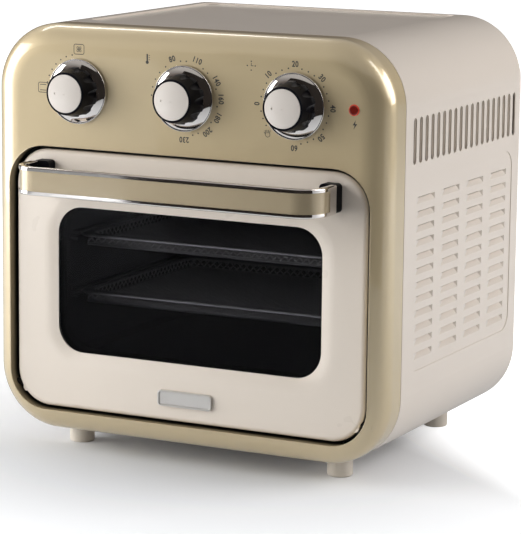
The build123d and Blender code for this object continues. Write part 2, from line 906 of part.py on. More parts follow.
# Dials: dished skirt, notched grip, domed cap and the control's shaft
def make_skirt(x):
    """Domed disc with a thin bead round its rim, behind the grip."""
    bore = grip_base_radius - skirt_lap
    seat = grip_base_radius - skirt_seat
    rim = -skirt_gap - skirt_rim_height
    crown = -skirt_gap - skirt_height
    with BuildPart() as skirt:
        with BuildSketch(axial_plane(x, dial_z)):
            with BuildLine():
                back = Line((bore, -skirt_gap), (skirt_radius, -skirt_gap))
                edge = Line(back @ 1, (skirt_radius, rim))
                bead = ThreePointArc(
                    edge @ 1,
                    (skirt_radius - skirt_bead / 2, rim - skirt_bead / 2),
                    (skirt_radius - skirt_bead, rim),
                )
                dome = ThreePointArc(
                    bead @ 1,
                    ((skirt_radius - skirt_bead + seat) / 2, (rim + crown) / 2 - skirt_swell),
                    (seat, crown),
                )
                top = Line(dome @ 1, (bore, crown))
                Line(top @ 1, back @ 0)
            make_face()
        revolve(axis=dial_axis(x, dial_z))
    return skirt


def make_grip(x):
    """Tapering grip with notches round its foot and a seat for the cap."""
    base = -skirt_gap - skirt_height
    front = base - grip_height
    with BuildPart() as grip:
        with BuildSketch(axial_plane(x, dial_z)):
            with BuildLine():
                Polyline(
                    (0, base),
                    (grip_base_radius, base),
                    (grip_base_radius - grip_foot_draft, base - grip_foot_height),
                    (grip_front_radius + grip_edge, front + grip_edge),
                    (grip_front_radius, front),
                    (cap_radius + cap_gap, front),
                    (cap_radius + cap_gap, front + cap_seat),
                    (0, front + cap_seat),
                    (0, base),
                )
            make_face()
        revolve(axis=dial_axis(x, dial_z))
        with BuildSketch(front_plane(face_y)):
            with Locations((x, dial_z)):
                with PolarLocations(grip_base_radius + notch_radius - notch_depth, grip_notches):
                    Circle(notch_radius)
        extrude(amount=grip_height * 2, mode=Mode.SUBTRACT)
        with BuildSketch(front_plane(face_y)):
            with Locations((x, dial_z)):
                Circle(shaft_radius)
        extrude(amount=shaft_reach, mode=Mode.SUBTRACT)
    return grip


def make_cap(x):
    """Domed cap in the front of the grip, with a shallow pointer dot."""
    base = -skirt_gap - skirt_height - grip_height + cap_seat
    with BuildPart() as cap:
        with BuildSketch(axial_plane(x, dial_z)):
            with BuildLine():
                bottom = Line((0, base), (cap_radius, base))
                wall = Line(bottom @ 1, (cap_radius, base - cap_height + cap_dome))
                dome = TangentArc((0, base - cap_height), wall @ 1, tangent=(1, 0))
                Line(dome @ 0, (0, base))
            make_face()
        revolve(axis=dial_axis(x, dial_z))
        with BuildSketch(front_plane(face_y + base - cap_height - sheet)):
            with Locations((x - cap_mark_place, dial_z)):
                Circle(cap_mark_radius)
        extrude(amount=-(2 * sheet), mode=Mode.SUBTRACT)
    return cap


def make_shaft(x):
    """Round shaft of a control, from the grip to inside the control's body."""
    with BuildPart() as shaft:
        with BuildSketch(front_plane(face_y - shaft_reach)):
            with Locations((x, dial_z)):
                Circle(shaft_radius)
        extrude(amount=-shaft_length)
    return shaft


# Bracket plate of the controls and the controls themselves
with BuildPart() as control_bracket:
    with BuildSketch(front_plane(plate_y)):
        with Locations((0, dial_z)):
            RectangleRounded(
                2 * post_span_x + bracket_plate_margin,
                post_span_z + bracket_plate_margin,
                control_corner,
            )
            with GridLocations(dial_pitch, 0, len(dial_places), 1):
                Circle(shaft_radius + shaft_hole_gap, mode=Mode.SUBTRACT)
        with Locations((lamp_x, dial_z)):
            Circle(lamp_holder_radius + slip_gap, mode=Mode.SUBTRACT)
    extrude(amount=-sheet)


def make_control(x, size):
    """Block of a control behind the bracket plate, with the bore of its shaft."""
    with BuildPart() as control:
        with BuildSketch(front_plane(plate_y + sheet)):
            with Locations((x, dial_z)):
                RectangleRounded(size[0], size[2], control_corner)
        extrude(amount=-size[1])
        with BuildSketch(front_plane(plate_y + sheet)):
            with Locations((x, dial_z)):
                Circle(shaft_radius + shaft_play)
        extrude(amount=-size[1] + 2 * sheet, mode=Mode.SUBTRACT)
    return control


selector_switch = make_control(dial_places[0], selector_size)
thermostat = make_control(dial_places[1], thermostat_size)
timer = make_control(dial_places[2], timer_size)

bell_y = plate_y + sheet + timer_size[1]
with BuildPart() as timer_bell:
    with BuildSketch(front_plane(bell_y)):
        with Locations((dial_places[2], dial_z)):
            Circle(bell_post_radius)
    extrude(amount=-bell_height)
    with BuildSketch(front_plane(bell_y + bell_height)):
        with Locations((dial_places[2], dial_z)):
            Circle(bell_radius)
    extrude(amount=bell_skirt, taper=-bell_taper)
    with BuildSketch(front_plane(bell_y)):
        with Locations((dial_places[2], dial_z)):
            Circle(bell_radius - bell_wall)
            Circle(bell_post_radius, mode=Mode.SUBTRACT)
    extrude(amount=-(bell_height - sheet), mode=Mode.SUBTRACT)

# Indicator lamp
with BuildPart() as lamp_lens:
    with BuildSketch(front_plane(face_y + frame_wall)):
        with Locations((lamp_x, dial_z)):
            Circle(lens_radius)
    extrude(amount=frame_wall + lens_rise)
    fillet(lamp_lens.edges().group_by(Axis.Y)[0], lens_round)

with BuildPart() as lamp_holder:
    with BuildSketch(front_plane(face_y + frame_wall)):
        with Locations((lamp_x, dial_z)):
            Circle(lamp_holder_radius)
    extrude(amount=-lamp_holder_length)


# Oven cavity: flange plate round its mouth, box, bowl over the fan and rails for the trays
tray_half_width = cavity_half_width - tray_side_gap
liner_start_y = liner_front_y + sheet
with BuildPart() as cavity_mouth:
    with BuildSketch(front_plane(liner_front_y)):
        with Locations((0, opening_mid_z)):
            RectangleRounded(
                opening_width + 2 * (return_wall + flange_margin),
                opening_height + 2 * (return_wall + flange_margin),
                opening_corner + return_wall + flange_margin,
            )
        with Locations((0, cavity_mid_z)):
            RectangleRounded(
                2 * cavity_half_width, cavity_top - cavity_floor, cavity_corner, mode=Mode.SUBTRACT
            )
    extrude(amount=-sheet)

with BuildPart() as cavity_liner:
    with BuildSketch(front_plane(liner_start_y)):
        with Locations((0, cavity_mid_z)):
            RectangleRounded(
                2 * (cavity_half_width + sheet),
                cavity_top - cavity_floor + 2 * sheet,
                cavity_corner + sheet,
            )
    extrude(amount=-(cavity_back_y + sheet - liner_start_y))
    with BuildSketch(front_plane(liner_start_y - sheet)):
        with Locations((0, cavity_mid_z)):
            RectangleRounded(2 * cavity_half_width, cavity_top - cavity_floor, cavity_corner)
    extrude(amount=-(cavity_back_y - liner_start_y + sheet), mode=Mode.SUBTRACT)
    # Hole under the fan's bowl and holes for the heater's legs
    with BuildSketch(level_plane(cavity_top - sheet)):
        with Locations((0, fan_y)):
            Circle(dome_radius)
    extrude(amount=3 * sheet, mode=Mode.SUBTRACT)
    with BuildSketch(front_plane(cavity_back_y - sheet)):
        for side in (-1, 1):
            with Locations((side * heater_leg_x, heater_z)):
                Circle(heater_tube + heater_hole_gap)
    extrude(amount=-3 * sheet, mode=Mode.SUBTRACT)

liner_top = cavity_top + sheet
with BuildPart() as bowl_core:
    with BuildSketch(level_plane(cavity_top)):
        with Locations((0, fan_y)):
            Circle(dome_radius)
    extrude(amount=dome_height)
    fillet(bowl_core.edges().group_by(Axis.Z)[-1], dome_round)

with BuildPart() as fan_housing:
    with BuildSketch(level_plane(liner_top)):
        with Locations((0, fan_y)):
            Circle(dome_radius + dome_flange)
    extrude(amount=sheet)
    with BuildSketch(level_plane(liner_top)):
        with Locations((0, fan_y)):
            Circle(dome_radius + sheet)
    extrude(amount=dome_height)
    fillet(fan_housing.edges().group_by(Axis.Z)[-1], dome_round + sheet)
    add(bowl_core.part, mode=Mode.SUBTRACT)
    with BuildSketch(level_plane(dome_top - sheet)):
        with Locations((0, fan_y)):
            Circle(rotor_shaft_radius + shaft_clear)
    extrude(amount=3 * sheet, mode=Mode.SUBTRACT)

with BuildPart() as tray_rails:
    with BuildSketch(front_plane(face_y + rail_front)):
        for rim_top in tray_rim_top:
            below = rim_top - tray_rim_height - tray_rail_gap - rail_thickness / 2
            above = rim_top + tray_rail_gap + rail_thickness / 2
            for side in (-1, 1):
                with Locations(
                    (side * (cavity_half_width - rail_width / 2), below),
                    (side * (cavity_half_width - rail_width / 2), above),
                ):
                    Rectangle(rail_width, rail_thickness)
    extrude(amount=-(rail_back - rail_front))


def make_mesh_tray(rim_top):
    """Shallow basket: flat rim, low walls and a floor of diamond mesh."""
    width = 2 * tray_half_width
    mid_y = face_y + tray_front + tray_length / 2
    rim_bottom = rim_top - tray_rim_height
    floor_z = rim_top - tray_drop
    inner_width = width - 2 * tray_rim_width
    inner_length = tray_length - 2 * tray_rim_width
    with BuildPart() as tray:
        with BuildSketch(level_plane(rim_bottom)):
            with Locations((0, mid_y)):
                RectangleRounded(width, tray_length, tray_corner)
        extrude(amount=tray_rim_height)
        with BuildSketch(level_plane(floor_z - tray_sheet)):
            with Locations((0, mid_y)):
                RectangleRounded(
                    inner_width + 2 * tray_sheet, inner_length + 2 * tray_sheet, tray_corner
                )
        extrude(amount=tray_drop)
        with BuildSketch(level_plane(floor_z)):
            with Locations((0, mid_y)):
                RectangleRounded(inner_width, inner_length, tray_corner - tray_sheet)
        extrude(amount=2 * tray_drop, mode=Mode.SUBTRACT)
        with BuildSketch(level_plane(floor_z - 2 * tray_sheet)):
            with Locations((0, mid_y)):
                with GridLocations(mesh_pitch, mesh_pitch, mesh_columns, mesh_rows):
                    Rectangle(mesh_hole, mesh_hole, rotation=45)
        extrude(amount=3 * tray_sheet, mode=Mode.SUBTRACT)
        with BuildSketch(front_plane(face_y + tray_front)):
            with Locations((0, (rim_bottom + floor_z) / 2)):
                with GridLocations(inner_width / (front_mesh_count + 1), 0, front_mesh_count, 1):
                    Rectangle(front_mesh_hole, front_mesh_hole, rotation=45)
        extrude(amount=-2 * tray_rim_width, mode=Mode.SUBTRACT)
    return tray


mesh_tray_upper = make_mesh_tray(tray_rim_top[0])
mesh_tray_lower = make_mesh_tray(tray_rim_top[1])

with BuildPart() as drip_tray:
    drip_mid_y = face_y + drip_front + drip_length / 2
    drip_width = 2 * (cavity_half_width - drip_side_gap)
    with BuildSketch(level_plane(cavity_floor + drip_gap)):
        with Locations((0, drip_mid_y)):
            RectangleRounded(drip_width, drip_length, drip_corner)
    extrude(amount=drip_height)
    with BuildSketch(level_plane(cavity_floor + drip_gap + sheet)):
        with Locations((0, drip_mid_y)):
            RectangleRounded(drip_width - 2 * sheet, drip_length - 2 * sheet, drip_corner - sheet)
    extrude(amount=drip_height, mode=Mode.SUBTRACT)


# Heater: one bent tube under the fan, its ends through the back wall
heater_back_y = cavity_back_y + sheet + heater_tail
heater_loop_back = fan_y + heater_half_depth
heater_loop_front = fan_y - heater_half_depth
with BuildPart() as heater_element:
    with BuildLine(level_plane(heater_z)) as heater_path:
        FilletPolyline(
            (-heater_leg_x, heater_back_y),
            (-heater_leg_x, heater_loop_back),
            (-heater_half_width, heater_loop_back),
            (-heater_half_width, heater_loop_front),
            (heater_half_width, heater_loop_front),
            (heater_half_width, heater_loop_back),
            (heater_leg_x, heater_loop_back),
            (heater_leg_x, heater_back_y),
            radius=[
                heater_leg_bend,
                heater_corner,
                heater_corner,
                heater_corner,
                heater_corner,
                heater_leg_bend,
            ],
        )
    with BuildSketch(front_plane(heater_back_y)):
        with Locations((-heater_leg_x, heater_z)):
            Circle(heater_tube)
    sweep(path=heater_path.line)

# Guard below the heater: a slotted pan hung from the cavity's ceiling
with BuildPart() as heater_guard:
    with BuildSketch(level_plane(guard_z)):
        with Locations((0, fan_y)):
            RectangleRounded(2 * guard_half_width, 2 * guard_half_depth, guard_corner)
    extrude(amount=cavity_top - guard_z)
    with BuildSketch(level_plane(guard_z + sheet)):
        with Locations((0, fan_y)):
            RectangleRounded(
                2 * (guard_half_width - sheet), 2 * (guard_half_depth - sheet), guard_corner - sheet
            )
    extrude(amount=cavity_top - guard_z, mode=Mode.SUBTRACT)
    with BuildSketch(level_plane(guard_z - sheet)):
        with Locations((0, fan_y)):
            Circle(guard_hole_radius)
            for ring_radius, ring_count, ring_slot in guard_rings:
                with PolarLocations(ring_radius, ring_count):
                    SlotOverall(ring_slot, guard_slot_width)
    extrude(amount=3 * sheet, mode=Mode.SUBTRACT)
    leg_gap = heater_tube + 2 * heater_hole_gap
    with BuildSketch(front_plane(fan_y + guard_half_depth - 2 * sheet)):
        for side in (-1, 1):
            with Locations((side * heater_leg_x, (heater_z + cavity_top) / 2)):
                Rectangle(2 * leg_gap, cavity_top - heater_z + 2 * leg_gap)
    extrude(amount=-3 * sheet, mode=Mode.SUBTRACT)


# Fans on one shaft, the motor and its bridge
with BuildPart() as fan_shaft:
    with BuildSketch(level_plane(rotor_shaft_low)):
        with Locations((0, fan_y)):
            Circle(rotor_shaft_radius)
    extrude(amount=rotor_shaft_high - rotor_shaft_low)


def make_fan(low, radius, blades, blade_height, blade_tilt):
    """Disc with upright blades and a hub bored for the shaft."""
    blade_length = radius - rotor_hub_radius - blade_margin
    with BuildPart() as fan:
        with BuildSketch(level_plane(low)):
            with Locations((0, fan_y)):
                Circle(radius)
        extrude(amount=rotor_plate)
        with BuildSketch(level_plane(low)):
            with Locations((0, fan_y)):
                Circle(rotor_hub_radius)
        extrude(amount=rotor_plate + blade_height)
        with BuildSketch(level_plane(low + rotor_plate)):
            with Locations((0, fan_y)):
                with PolarLocations((radius + rotor_hub_radius) / 2, blades):
                    Rectangle(blade_length, rotor_blade_thickness, rotation=blade_tilt)
        extrude(amount=blade_height)
        with BuildSketch(level_plane(low - rotor_plate)):
            with Locations((0, fan_y)):
                Circle(rotor_shaft_radius)
        extrude(amount=4 * rotor_plate + blade_height, mode=Mode.SUBTRACT)
    return fan


hot_air_fan = make_fan(rotor_low, rotor_radius, rotor_blades, rotor_blade_height, rotor_blade_tilt)
cooling_fan = make_fan(
    cooling_low, cooling_radius, cooling_blades, cooling_blade_height, cooling_blade_tilt
)

# Bridge over the dome that carries the motor
bridge_z = motor_low - bridge_sheet
with BuildPart() as motor_bridge:
    with BuildSketch(level_plane(bridge_z)):
        with Locations((0, fan_y)):
            Rectangle(2 * bridge_half_length, 2 * bridge_half_width)
            Circle(rotor_shaft_radius + shaft_clear, mode=Mode.SUBTRACT)
    extrude(amount=bridge_sheet)
    with BuildSketch(level_plane(liner_top)):
        with Locations((0, fan_y)):
            with GridLocations(2 * bridge_half_length - bridge_sheet, 0, 2, 1):
                Rectangle(bridge_sheet, 2 * bridge_half_width)
    extrude(amount=bridge_z - liner_top)
    with BuildSketch(level_plane(liner_top)):
        with Locations((0, fan_y)):
            with GridLocations(2 * bridge_half_length + bridge_foot, 0, 2, 1):
                Rectangle(bridge_foot + 2 * bridge_sheet, 2 * bridge_half_width)
    extrude(amount=bridge_sheet)

with BuildPart() as fan_motor:
    with BuildSketch(level_plane(motor_low)):
        with Locations((0, fan_y)):
            Circle(motor_radius)
    extrude(amount=motor_height)
    fillet(fan_motor.edges().group_by(Axis.Z)[-1], motor_round)
    with BuildSketch(level_plane(motor_low)):
        with Locations((0, fan_y)):
            Circle(rotor_shaft_radius + shaft_play)
    extrude(amount=motor_height, mode=Mode.SUBTRACT)

# Thermal cut-out on the cavity's ceiling and terminal block on the base plate
with BuildPart() as thermal_cutout:
    with BuildSketch(level_plane(cavity_top + sheet)):
        with Locations((cutout_x, face_y + cutout_from_face)):
            Circle(cutout_radius)
    extrude(amount=cutout_height)
    with BuildSketch(level_plane(cavity_top + sheet)):
        with Locations((cutout_x, face_y + cutout_from_face)):
            Rectangle(cutout_flange, cutout_radius)
    extrude(amount=sheet)

with BuildPart() as terminal_block:
    with BuildSketch(level_plane(base_z + sheet)):
        with Locations((terminal_x, face_y + terminal_from_face)):
            Rectangle(terminal_size[0], terminal_size[1])
    extrude(amount=terminal_size[2])
    with BuildSketch(level_plane(base_z + sheet + terminal_size[2])):
        with Locations((terminal_x, face_y + terminal_from_face)):
            with GridLocations(terminal_pitch, 0, 3, 1):
                Circle(terminal_well_radius)
    extrude(amount=-terminal_well_depth, mode=Mode.SUBTRACT)

pieces = {
    "front_frame": front_frame,
    "outer_shell": outer_shell,
    "rear_cover": rear_cover,
    "rear_screws": rear_screws,
    "cable_gland": cable_gland,
    "base_plate": base_plate,
    "foot_screws": foot_screws,
    "door_frame": door_frame,
    "door_glass": door_glass,
    "door_inner_frame": door_inner_frame,
    "door_inner_glass": door_inner_glass,
    "door_hinge_pins": door_hinge_pins,
    "handle_bar": handle_bar,
    "handle_inlay": handle_inlay,
    "handle_screws": handle_screws,
    "badge_plate": badge_plate,
    "control_bracket": control_bracket,
    "selector_switch": selector_switch,
    "thermostat": thermostat,
    "timer": timer,
    "timer_bell": timer_bell,
    "lamp_lens": lamp_lens,
    "lamp_holder": lamp_holder,
    "cavity_mouth": cavity_mouth,
    "cavity_liner": cavity_liner,
    "fan_housing": fan_housing,
    "tray_rails": tray_rails,
    "mesh_tray_upper": mesh_tray_upper,
    "mesh_tray_lower": mesh_tray_lower,
    "drip_tray": drip_tray,
    "heater_element": heater_element,
    "heater_guard": heater_guard,
    "fan_shaft": fan_shaft,
    "hot_air_fan": hot_air_fan,
    "cooling_fan": cooling_fan,
    "motor_bridge": motor_bridge,
    "fan_motor": fan_motor,
    "thermal_cutout": thermal_cutout,
    "terminal_block": terminal_block,
}
pieces.update(feet)
pieces.update(blocks)
for dial_name, dial_x in zip(dial_names, dial_places):
    pieces[dial_name + "_skirt"] = make_skirt(dial_x)
    pieces[dial_name + "_grip"] = make_grip(dial_x)
    pieces[dial_name + "_cap"] = make_cap(dial_x)
    pieces[dial_name + "_shaft"] = make_shaft(dial_x)

os.makedirs("parts", exist_ok=True)
for piece_name, piece in pieces.items():
    piece.part.label = piece_name
    export_step(piece.part, f"parts/{piece_name}.step")
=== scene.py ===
import math

import bmesh
import bpy
from mathutils import Matrix, Vector


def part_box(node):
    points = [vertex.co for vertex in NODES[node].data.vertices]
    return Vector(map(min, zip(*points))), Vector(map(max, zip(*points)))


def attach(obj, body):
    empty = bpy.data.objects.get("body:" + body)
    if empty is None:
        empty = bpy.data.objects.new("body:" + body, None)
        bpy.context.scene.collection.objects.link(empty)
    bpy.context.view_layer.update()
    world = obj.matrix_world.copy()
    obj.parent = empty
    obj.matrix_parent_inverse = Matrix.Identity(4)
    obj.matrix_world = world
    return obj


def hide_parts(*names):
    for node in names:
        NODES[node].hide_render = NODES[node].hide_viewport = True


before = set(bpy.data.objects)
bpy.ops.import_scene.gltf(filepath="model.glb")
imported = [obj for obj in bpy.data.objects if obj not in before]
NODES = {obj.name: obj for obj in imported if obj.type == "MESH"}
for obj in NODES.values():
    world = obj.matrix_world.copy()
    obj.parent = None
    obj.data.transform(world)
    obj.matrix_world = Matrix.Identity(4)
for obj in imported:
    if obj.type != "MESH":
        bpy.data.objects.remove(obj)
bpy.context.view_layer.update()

MM = 0.001


def middle(name, axis):
    """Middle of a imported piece's box along an axis, 0 to 2 for x to z."""
    low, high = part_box(name)
    return (low[axis] + high[axis]) / 2


FACE_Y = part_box("front_frame")[0].y
DOOR_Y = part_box("door_frame")[0].y
DIAL_Z = middle("temperature_skirt", 2)
SELECTOR_X = middle("selector_skirt", 0)
TEMPERATURE_X = middle("temperature_skirt", 0)
TIMER_X = middle("timer_skirt", 0)

# Depths of the surface detail
GRAIN_DEPTH = 0.04 * MM
LINE_DEPTH = 0.05 * MM
PRINT_DEPTH = 0.2 * MM
EDGE_RADIUS = 0.4 * MM

# Noise values that a surface's variation runs between
NOISE_LOW, NOISE_HIGH = 0.2, 0.8

# Painted shade in the gap round the door, and how softly it begins and ends
PAINTED_GAP_SHADE = (0.010, 0.008, 0.006)
SOFT = 0.2 * MM


class Nodes:
    """Makes and links the nodes of one node tree."""

    def __init__(self, tree):
        self.tree = tree

    def node(self, kind, inputs=(), **settings):
        """A new node. An input is a value or another node's output."""
        node = self.tree.nodes.new(kind)
        for setting, value in settings.items():
            setattr(node, setting, value)
        for socket, value in dict(inputs).items():
            if isinstance(value, bpy.types.NodeSocket):
                self.tree.links.new(value, node.inputs[socket])
            else:
                node.inputs[socket].default_value = value
        return node

    def calc(self, operation, *values):
        return self.node("ShaderNodeMath", dict(enumerate(values)), operation=operation).outputs[0]

    def span(self, value, low, high, start=NOISE_LOW, end=NOISE_HIGH, ease="SMOOTHSTEP"):
        """Map start to low and end to high, and hold them beyond."""
        inputs = {"Value": value, "From Min": start, "From Max": end, "To Min": low, "To Max": high}
        return self.node("ShaderNodeMapRange", inputs, interpolation_type=ease).outputs["Result"]

    def blend(self, factor, a, b):
        inputs = {"Factor": factor, "A": a, "B": b}
        return self.node("ShaderNodeMix", inputs, data_type="RGBA").outputs["Result"]


class Mat(Nodes):
    """A Principled material with procedural detail in object coordinates."""

    def __init__(
        self, name, color, rough, metallic=0.0, coat=0.0, coat_rough=0.05, coat_ior=1.5, spec=0.5, ior=1.5
    ):
        self.material = bpy.data.materials.new(name)
        self.material.use_nodes = True
        super().__init__(self.material.node_tree)
        self.shader = self.tree.nodes["Principled BSDF"]
        self.coordinates = self.node("ShaderNodeTexCoord").outputs["Object"]
        self.color, self.rough, self.normal = color, rough, None
        self.set("Base Color", (*color, 1))
        self.set("Roughness", rough)
        self.set("Metallic", metallic)
        self.set("Coat Weight", coat)
        self.set("Coat Roughness", coat_rough)
        self.set("Coat IOR", coat_ior)
        self.set("Specular IOR Level", spec)
        self.set("IOR", ior)

    def set(self, socket, value):
        self.shader.inputs[socket].default_value = value

    def feed(self, socket, output):
        self.tree.links.new(output, self.shader.inputs[socket])

    def axis(self, letter):
        return self.node("ShaderNodeSeparateXYZ", {0: self.coordinates}).outputs[letter]

    def noise(self, scale, detail, stretch=(1, 1, 1)):
        stretched = self.node("ShaderNodeMapping", {"Vector": self.coordinates, "Scale": stretch})
        inputs = {"Vector": stretched.outputs["Vector"], "Scale": scale, "Detail": detail}
        return self.node("ShaderNodeTexNoise", inputs).outputs["Fac"]

    def tone(self, value, amount):
        """Base colour drifts by the given share over the noise."""
        dark, light = ((*(c * share for c in self.color), 1) for share in (1 - amount, 1 + amount))
        self.feed("Base Color", self.blend(self.span(value, 0, 1), dark, light))

    def vary_rough(self, value, amount):
        self.feed("Roughness", self.span(value, self.rough - amount, self.rough + amount))

    def bump(self, value, strength, depth):
        inputs = {"Height": value, "Strength": strength, "Distance": depth}
        if self.normal is not None:
            inputs["Normal"] = self.normal
        self.normal = self.node("ShaderNodeBump", inputs).outputs["Normal"]
        self.feed("Normal", self.normal)

    def soft_edges(self):
        self.normal = self.node("ShaderNodeBevel", {"Radius": EDGE_RADIUS}, samples=4).outputs["Normal"]
        self.feed("Normal", self.normal)

    def beyond_outline(self, outline):
        """Distance outside an upright rounded outline, negative inside it."""
        half_x, half_z, middle_z, corner = outline
        x = self.calc("SUBTRACT", self.calc("ABSOLUTE", self.axis("X")), half_x - corner)
        up = self.calc("ABSOLUTE", self.calc("SUBTRACT", self.axis("Z"), middle_z))
        z = self.calc("SUBTRACT", up, half_z - corner)
        x, z = self.calc("MAXIMUM", x, 0), self.calc("MAXIMUM", z, 0)
        squares = self.calc("ADD", self.calc("MULTIPLY", x, x), self.calc("MULTIPLY", z, z))
        return self.calc("SUBTRACT", self.calc("SQRT", squares), corner)

    def shade_walls(self, outline, past, depth, inside, outside):
        """Paint shade on the gap's walls past a depth, between two distances from an outline."""
        out = self.beyond_outline(outline)
        start = self.span(out, 0, 1, inside, inside + SOFT)
        end = self.span(out, 0, 1, outside + SOFT, outside)
        deep = self.span(self.axis("Y"), 0, 1, past, past + depth)
        share = self.calc("MULTIPLY", self.calc("MULTIPLY", start, end), deep)
        color = self.shader.inputs["Base Color"].links[0].from_socket
        # Painted shade: the shade colour is blended into the base colour
        self.feed("Base Color", self.blend(share, color, (*PAINTED_GAP_SHADE, 1)))

    def crown(self, outline, start, middle, end, slope):
        """Bend the flat face a little before its rolled edge, between distances from the outline."""
        out = self.beyond_outline(outline)

        def bend(first, last):
            share = self.span(out, 0, 1, first, last, "LINEAR")
            curve = self.calc("MULTIPLY", self.calc("MULTIPLY", share, share), (last - first) / 2)
            return self.calc("ADD", curve, self.calc("MAXIMUM", self.calc("SUBTRACT", out, last), 0))

        rise = self.calc("SUBTRACT", bend(middle, end), bend(start, middle))
        self.bump(self.calc("MULTIPLY", rise, slope), 1, 1)
        self.feed("Coat Normal", self.normal)


def paint(name, color, rough, coat, peel=0.03, coat_rough=0.08, **more):
    """Stove paint: slight cloudiness, fine orange peel and a clear coat."""
    m = Mat(name, color, rough, coat=coat, coat_rough=coat_rough, **more)
    m.tone(m.noise(9, 2), 0.01)
    m.vary_rough(m.noise(24, 3), 0.03)
    m.bump(m.noise(420, 2), peel, GRAIN_DEPTH)
    return m


def steel(name, color, rough, drift, stretch=(1, 1, 1), metallic=1.0):
    """Sheet or bar with fine drawn lines where its noise is stretched."""
    m = Mat(name, color, rough, metallic=metallic)
    m.soft_edges()
    lines = m.noise(60, 4, stretch)
    m.tone(lines, drift)
    m.vary_rough(lines, rough * 0.35)
    m.bump(lines, 0.12, LINE_DEPTH)
    return m


def chrome(name, color, rough, metallic=1.0):
    """Polished plating with faint cloudy wear."""
    m = Mat(name, color, rough, metallic=metallic)
    m.tone(m.noise(20, 3), 0.02)
    m.vary_rough(m.noise(120, 5), 0.02)
    m.bump(m.noise(90, 2), 0.01, LINE_DEPTH)
    return m


def plastic(name, color, rough, grain=0.2, coat=0.0, spec=0.5):
    """Moulded plastic with a fine grain."""
    m = Mat(name, color, rough, coat=coat, spec=spec)
    m.soft_edges()
    m.tone(m.noise(15, 4), 0.04)
    m.vary_rough(m.noise(40, 4), 0.05)
    m.bump(m.noise(1600, 3), grain, GRAIN_DEPTH)
    return m


def glass(name, color, ior):
    """Tinted glass with faint streaks."""
    m = Mat(name, color, 0.02, ior=ior)
    m.set("Transmission Weight", 1.0)
    m.tone(m.noise(12, 2), 0.02)
    m.vary_rough(m.noise(25, 4), 0.01)
    return m


def speckled(name, color, rough, tone_scale, drift, coat=0.0):
    """Lens plastic or ink with a fine uneven surface."""
    m = Mat(name, color, rough, coat=coat)
    m.tone(m.noise(tone_scale, 3), drift)
    m.bump(m.noise(900, 2), 0.1, PRINT_DEPTH)
    return m


def glowing_red():
    """Ring round the lamp's lens, faintly lit from behind."""
    m = Mat("lens_ring", (0.62, 0.06, 0.025), 0.25, coat=0.8)
    m.set("Emission Color", (0.9, 0.06, 0.02, 1))
    m.set("Emission Strength", 0.12)
    m.tone(m.noise(300, 3), 0.1)
    return m


BEIGE_COAT = {"coat": 1.0, "coat_rough": 0.03, "coat_ior": 1.75}

beige = paint("beige_paint", (0.64, 0.52, 0.32), 0.36, peel=0.04, metallic=0.4, **BEIGE_COAT)
beige_inlay = paint("beige_inlay_paint", (0.50, 0.41, 0.27), 0.32, coat=0.8, peel=0.04, metallic=0.45)
cream = paint("cream_paint", (0.74, 0.665, 0.59), 0.34, coat=0.45)
cream_door = paint("cream_door_paint", (0.77, 0.69, 0.60), 0.3, coat=0.5)
dark_enamel = paint("dark_enamel", (0.008, 0.008, 0.009), 0.35, coat=0.2)
handle_chrome = chrome("handle_chrome", (0.86, 0.82, 0.79), 0.07)
skirt_chrome = chrome("skirt_chrome", (0.88, 0.85, 0.82), 0.05)
tray_chrome = chrome("tray_chrome", (0.75, 0.74, 0.71), 0.3, metallic=0.75)
badge_metal = chrome("badge_metal", (0.70, 0.68, 0.65), 0.32, metallic=0.7)
black_plastic = plastic("black_plastic", (0.004, 0.004, 0.006), 0.4, grain=0.1, spec=0.06)
grip_black = plastic("grip_black", (0.003, 0.003, 0.006), 0.3, grain=0.04, spec=0.12)
cap_cream = plastic("cap_cream", (0.72, 0.665, 0.61), 0.2, grain=0.02, coat=0.5)
foot_cream = plastic("foot_cream", (0.66, 0.60, 0.52), 0.4)
white_plastic = plastic("white_plastic", (0.75, 0.74, 0.70), 0.5)
brown_plastic = plastic("brown_plastic", (0.07, 0.035, 0.02), 0.5)
liner_metal = steel("liner_metal", (0.05, 0.05, 0.053), 0.4, 0.1, (1, 30, 1), metallic=0.6)
pin_steel = steel("pin_steel", (0.03, 0.03, 0.03), 0.4, 0.1)
plated_steel = steel("plated_steel", (0.52, 0.52, 0.50), 0.35, 0.1, (1, 1, 20))
screw_steel = steel("screw_steel", (0.6, 0.6, 0.6), 0.25, 0.08)
aluminium = steel("aluminium_sheet", (0.62, 0.62, 0.63), 0.4, 0.08, (1, 20, 1))
heater_steel = steel("heater_steel", (0.12, 0.11, 0.11), 0.4, 0.3)
bell_brass = steel("bell_brass", (0.6, 0.45, 0.18), 0.3, 0.1, (1, 1, 30))
baffle_sheet = steel("baffle_sheet", (0.40, 0.34, 0.28), 0.5, 0.05, (1, 1, 10), metallic=0.2)
dark_glass = glass("dark_glass", (0.31, 0.31, 0.34), 1.13)
clear_glass = glass("clear_glass", (0.76, 0.76, 0.76), 1.01)
red_lens = speckled("red_lens", (0.16, 0.012, 0.008), 0.15, 300, 0.15, coat=0.6)
mark_ink = speckled("mark_ink", (0.05, 0.048, 0.045), 0.5, 200, 0.1)
lens_ring = glowing_red()

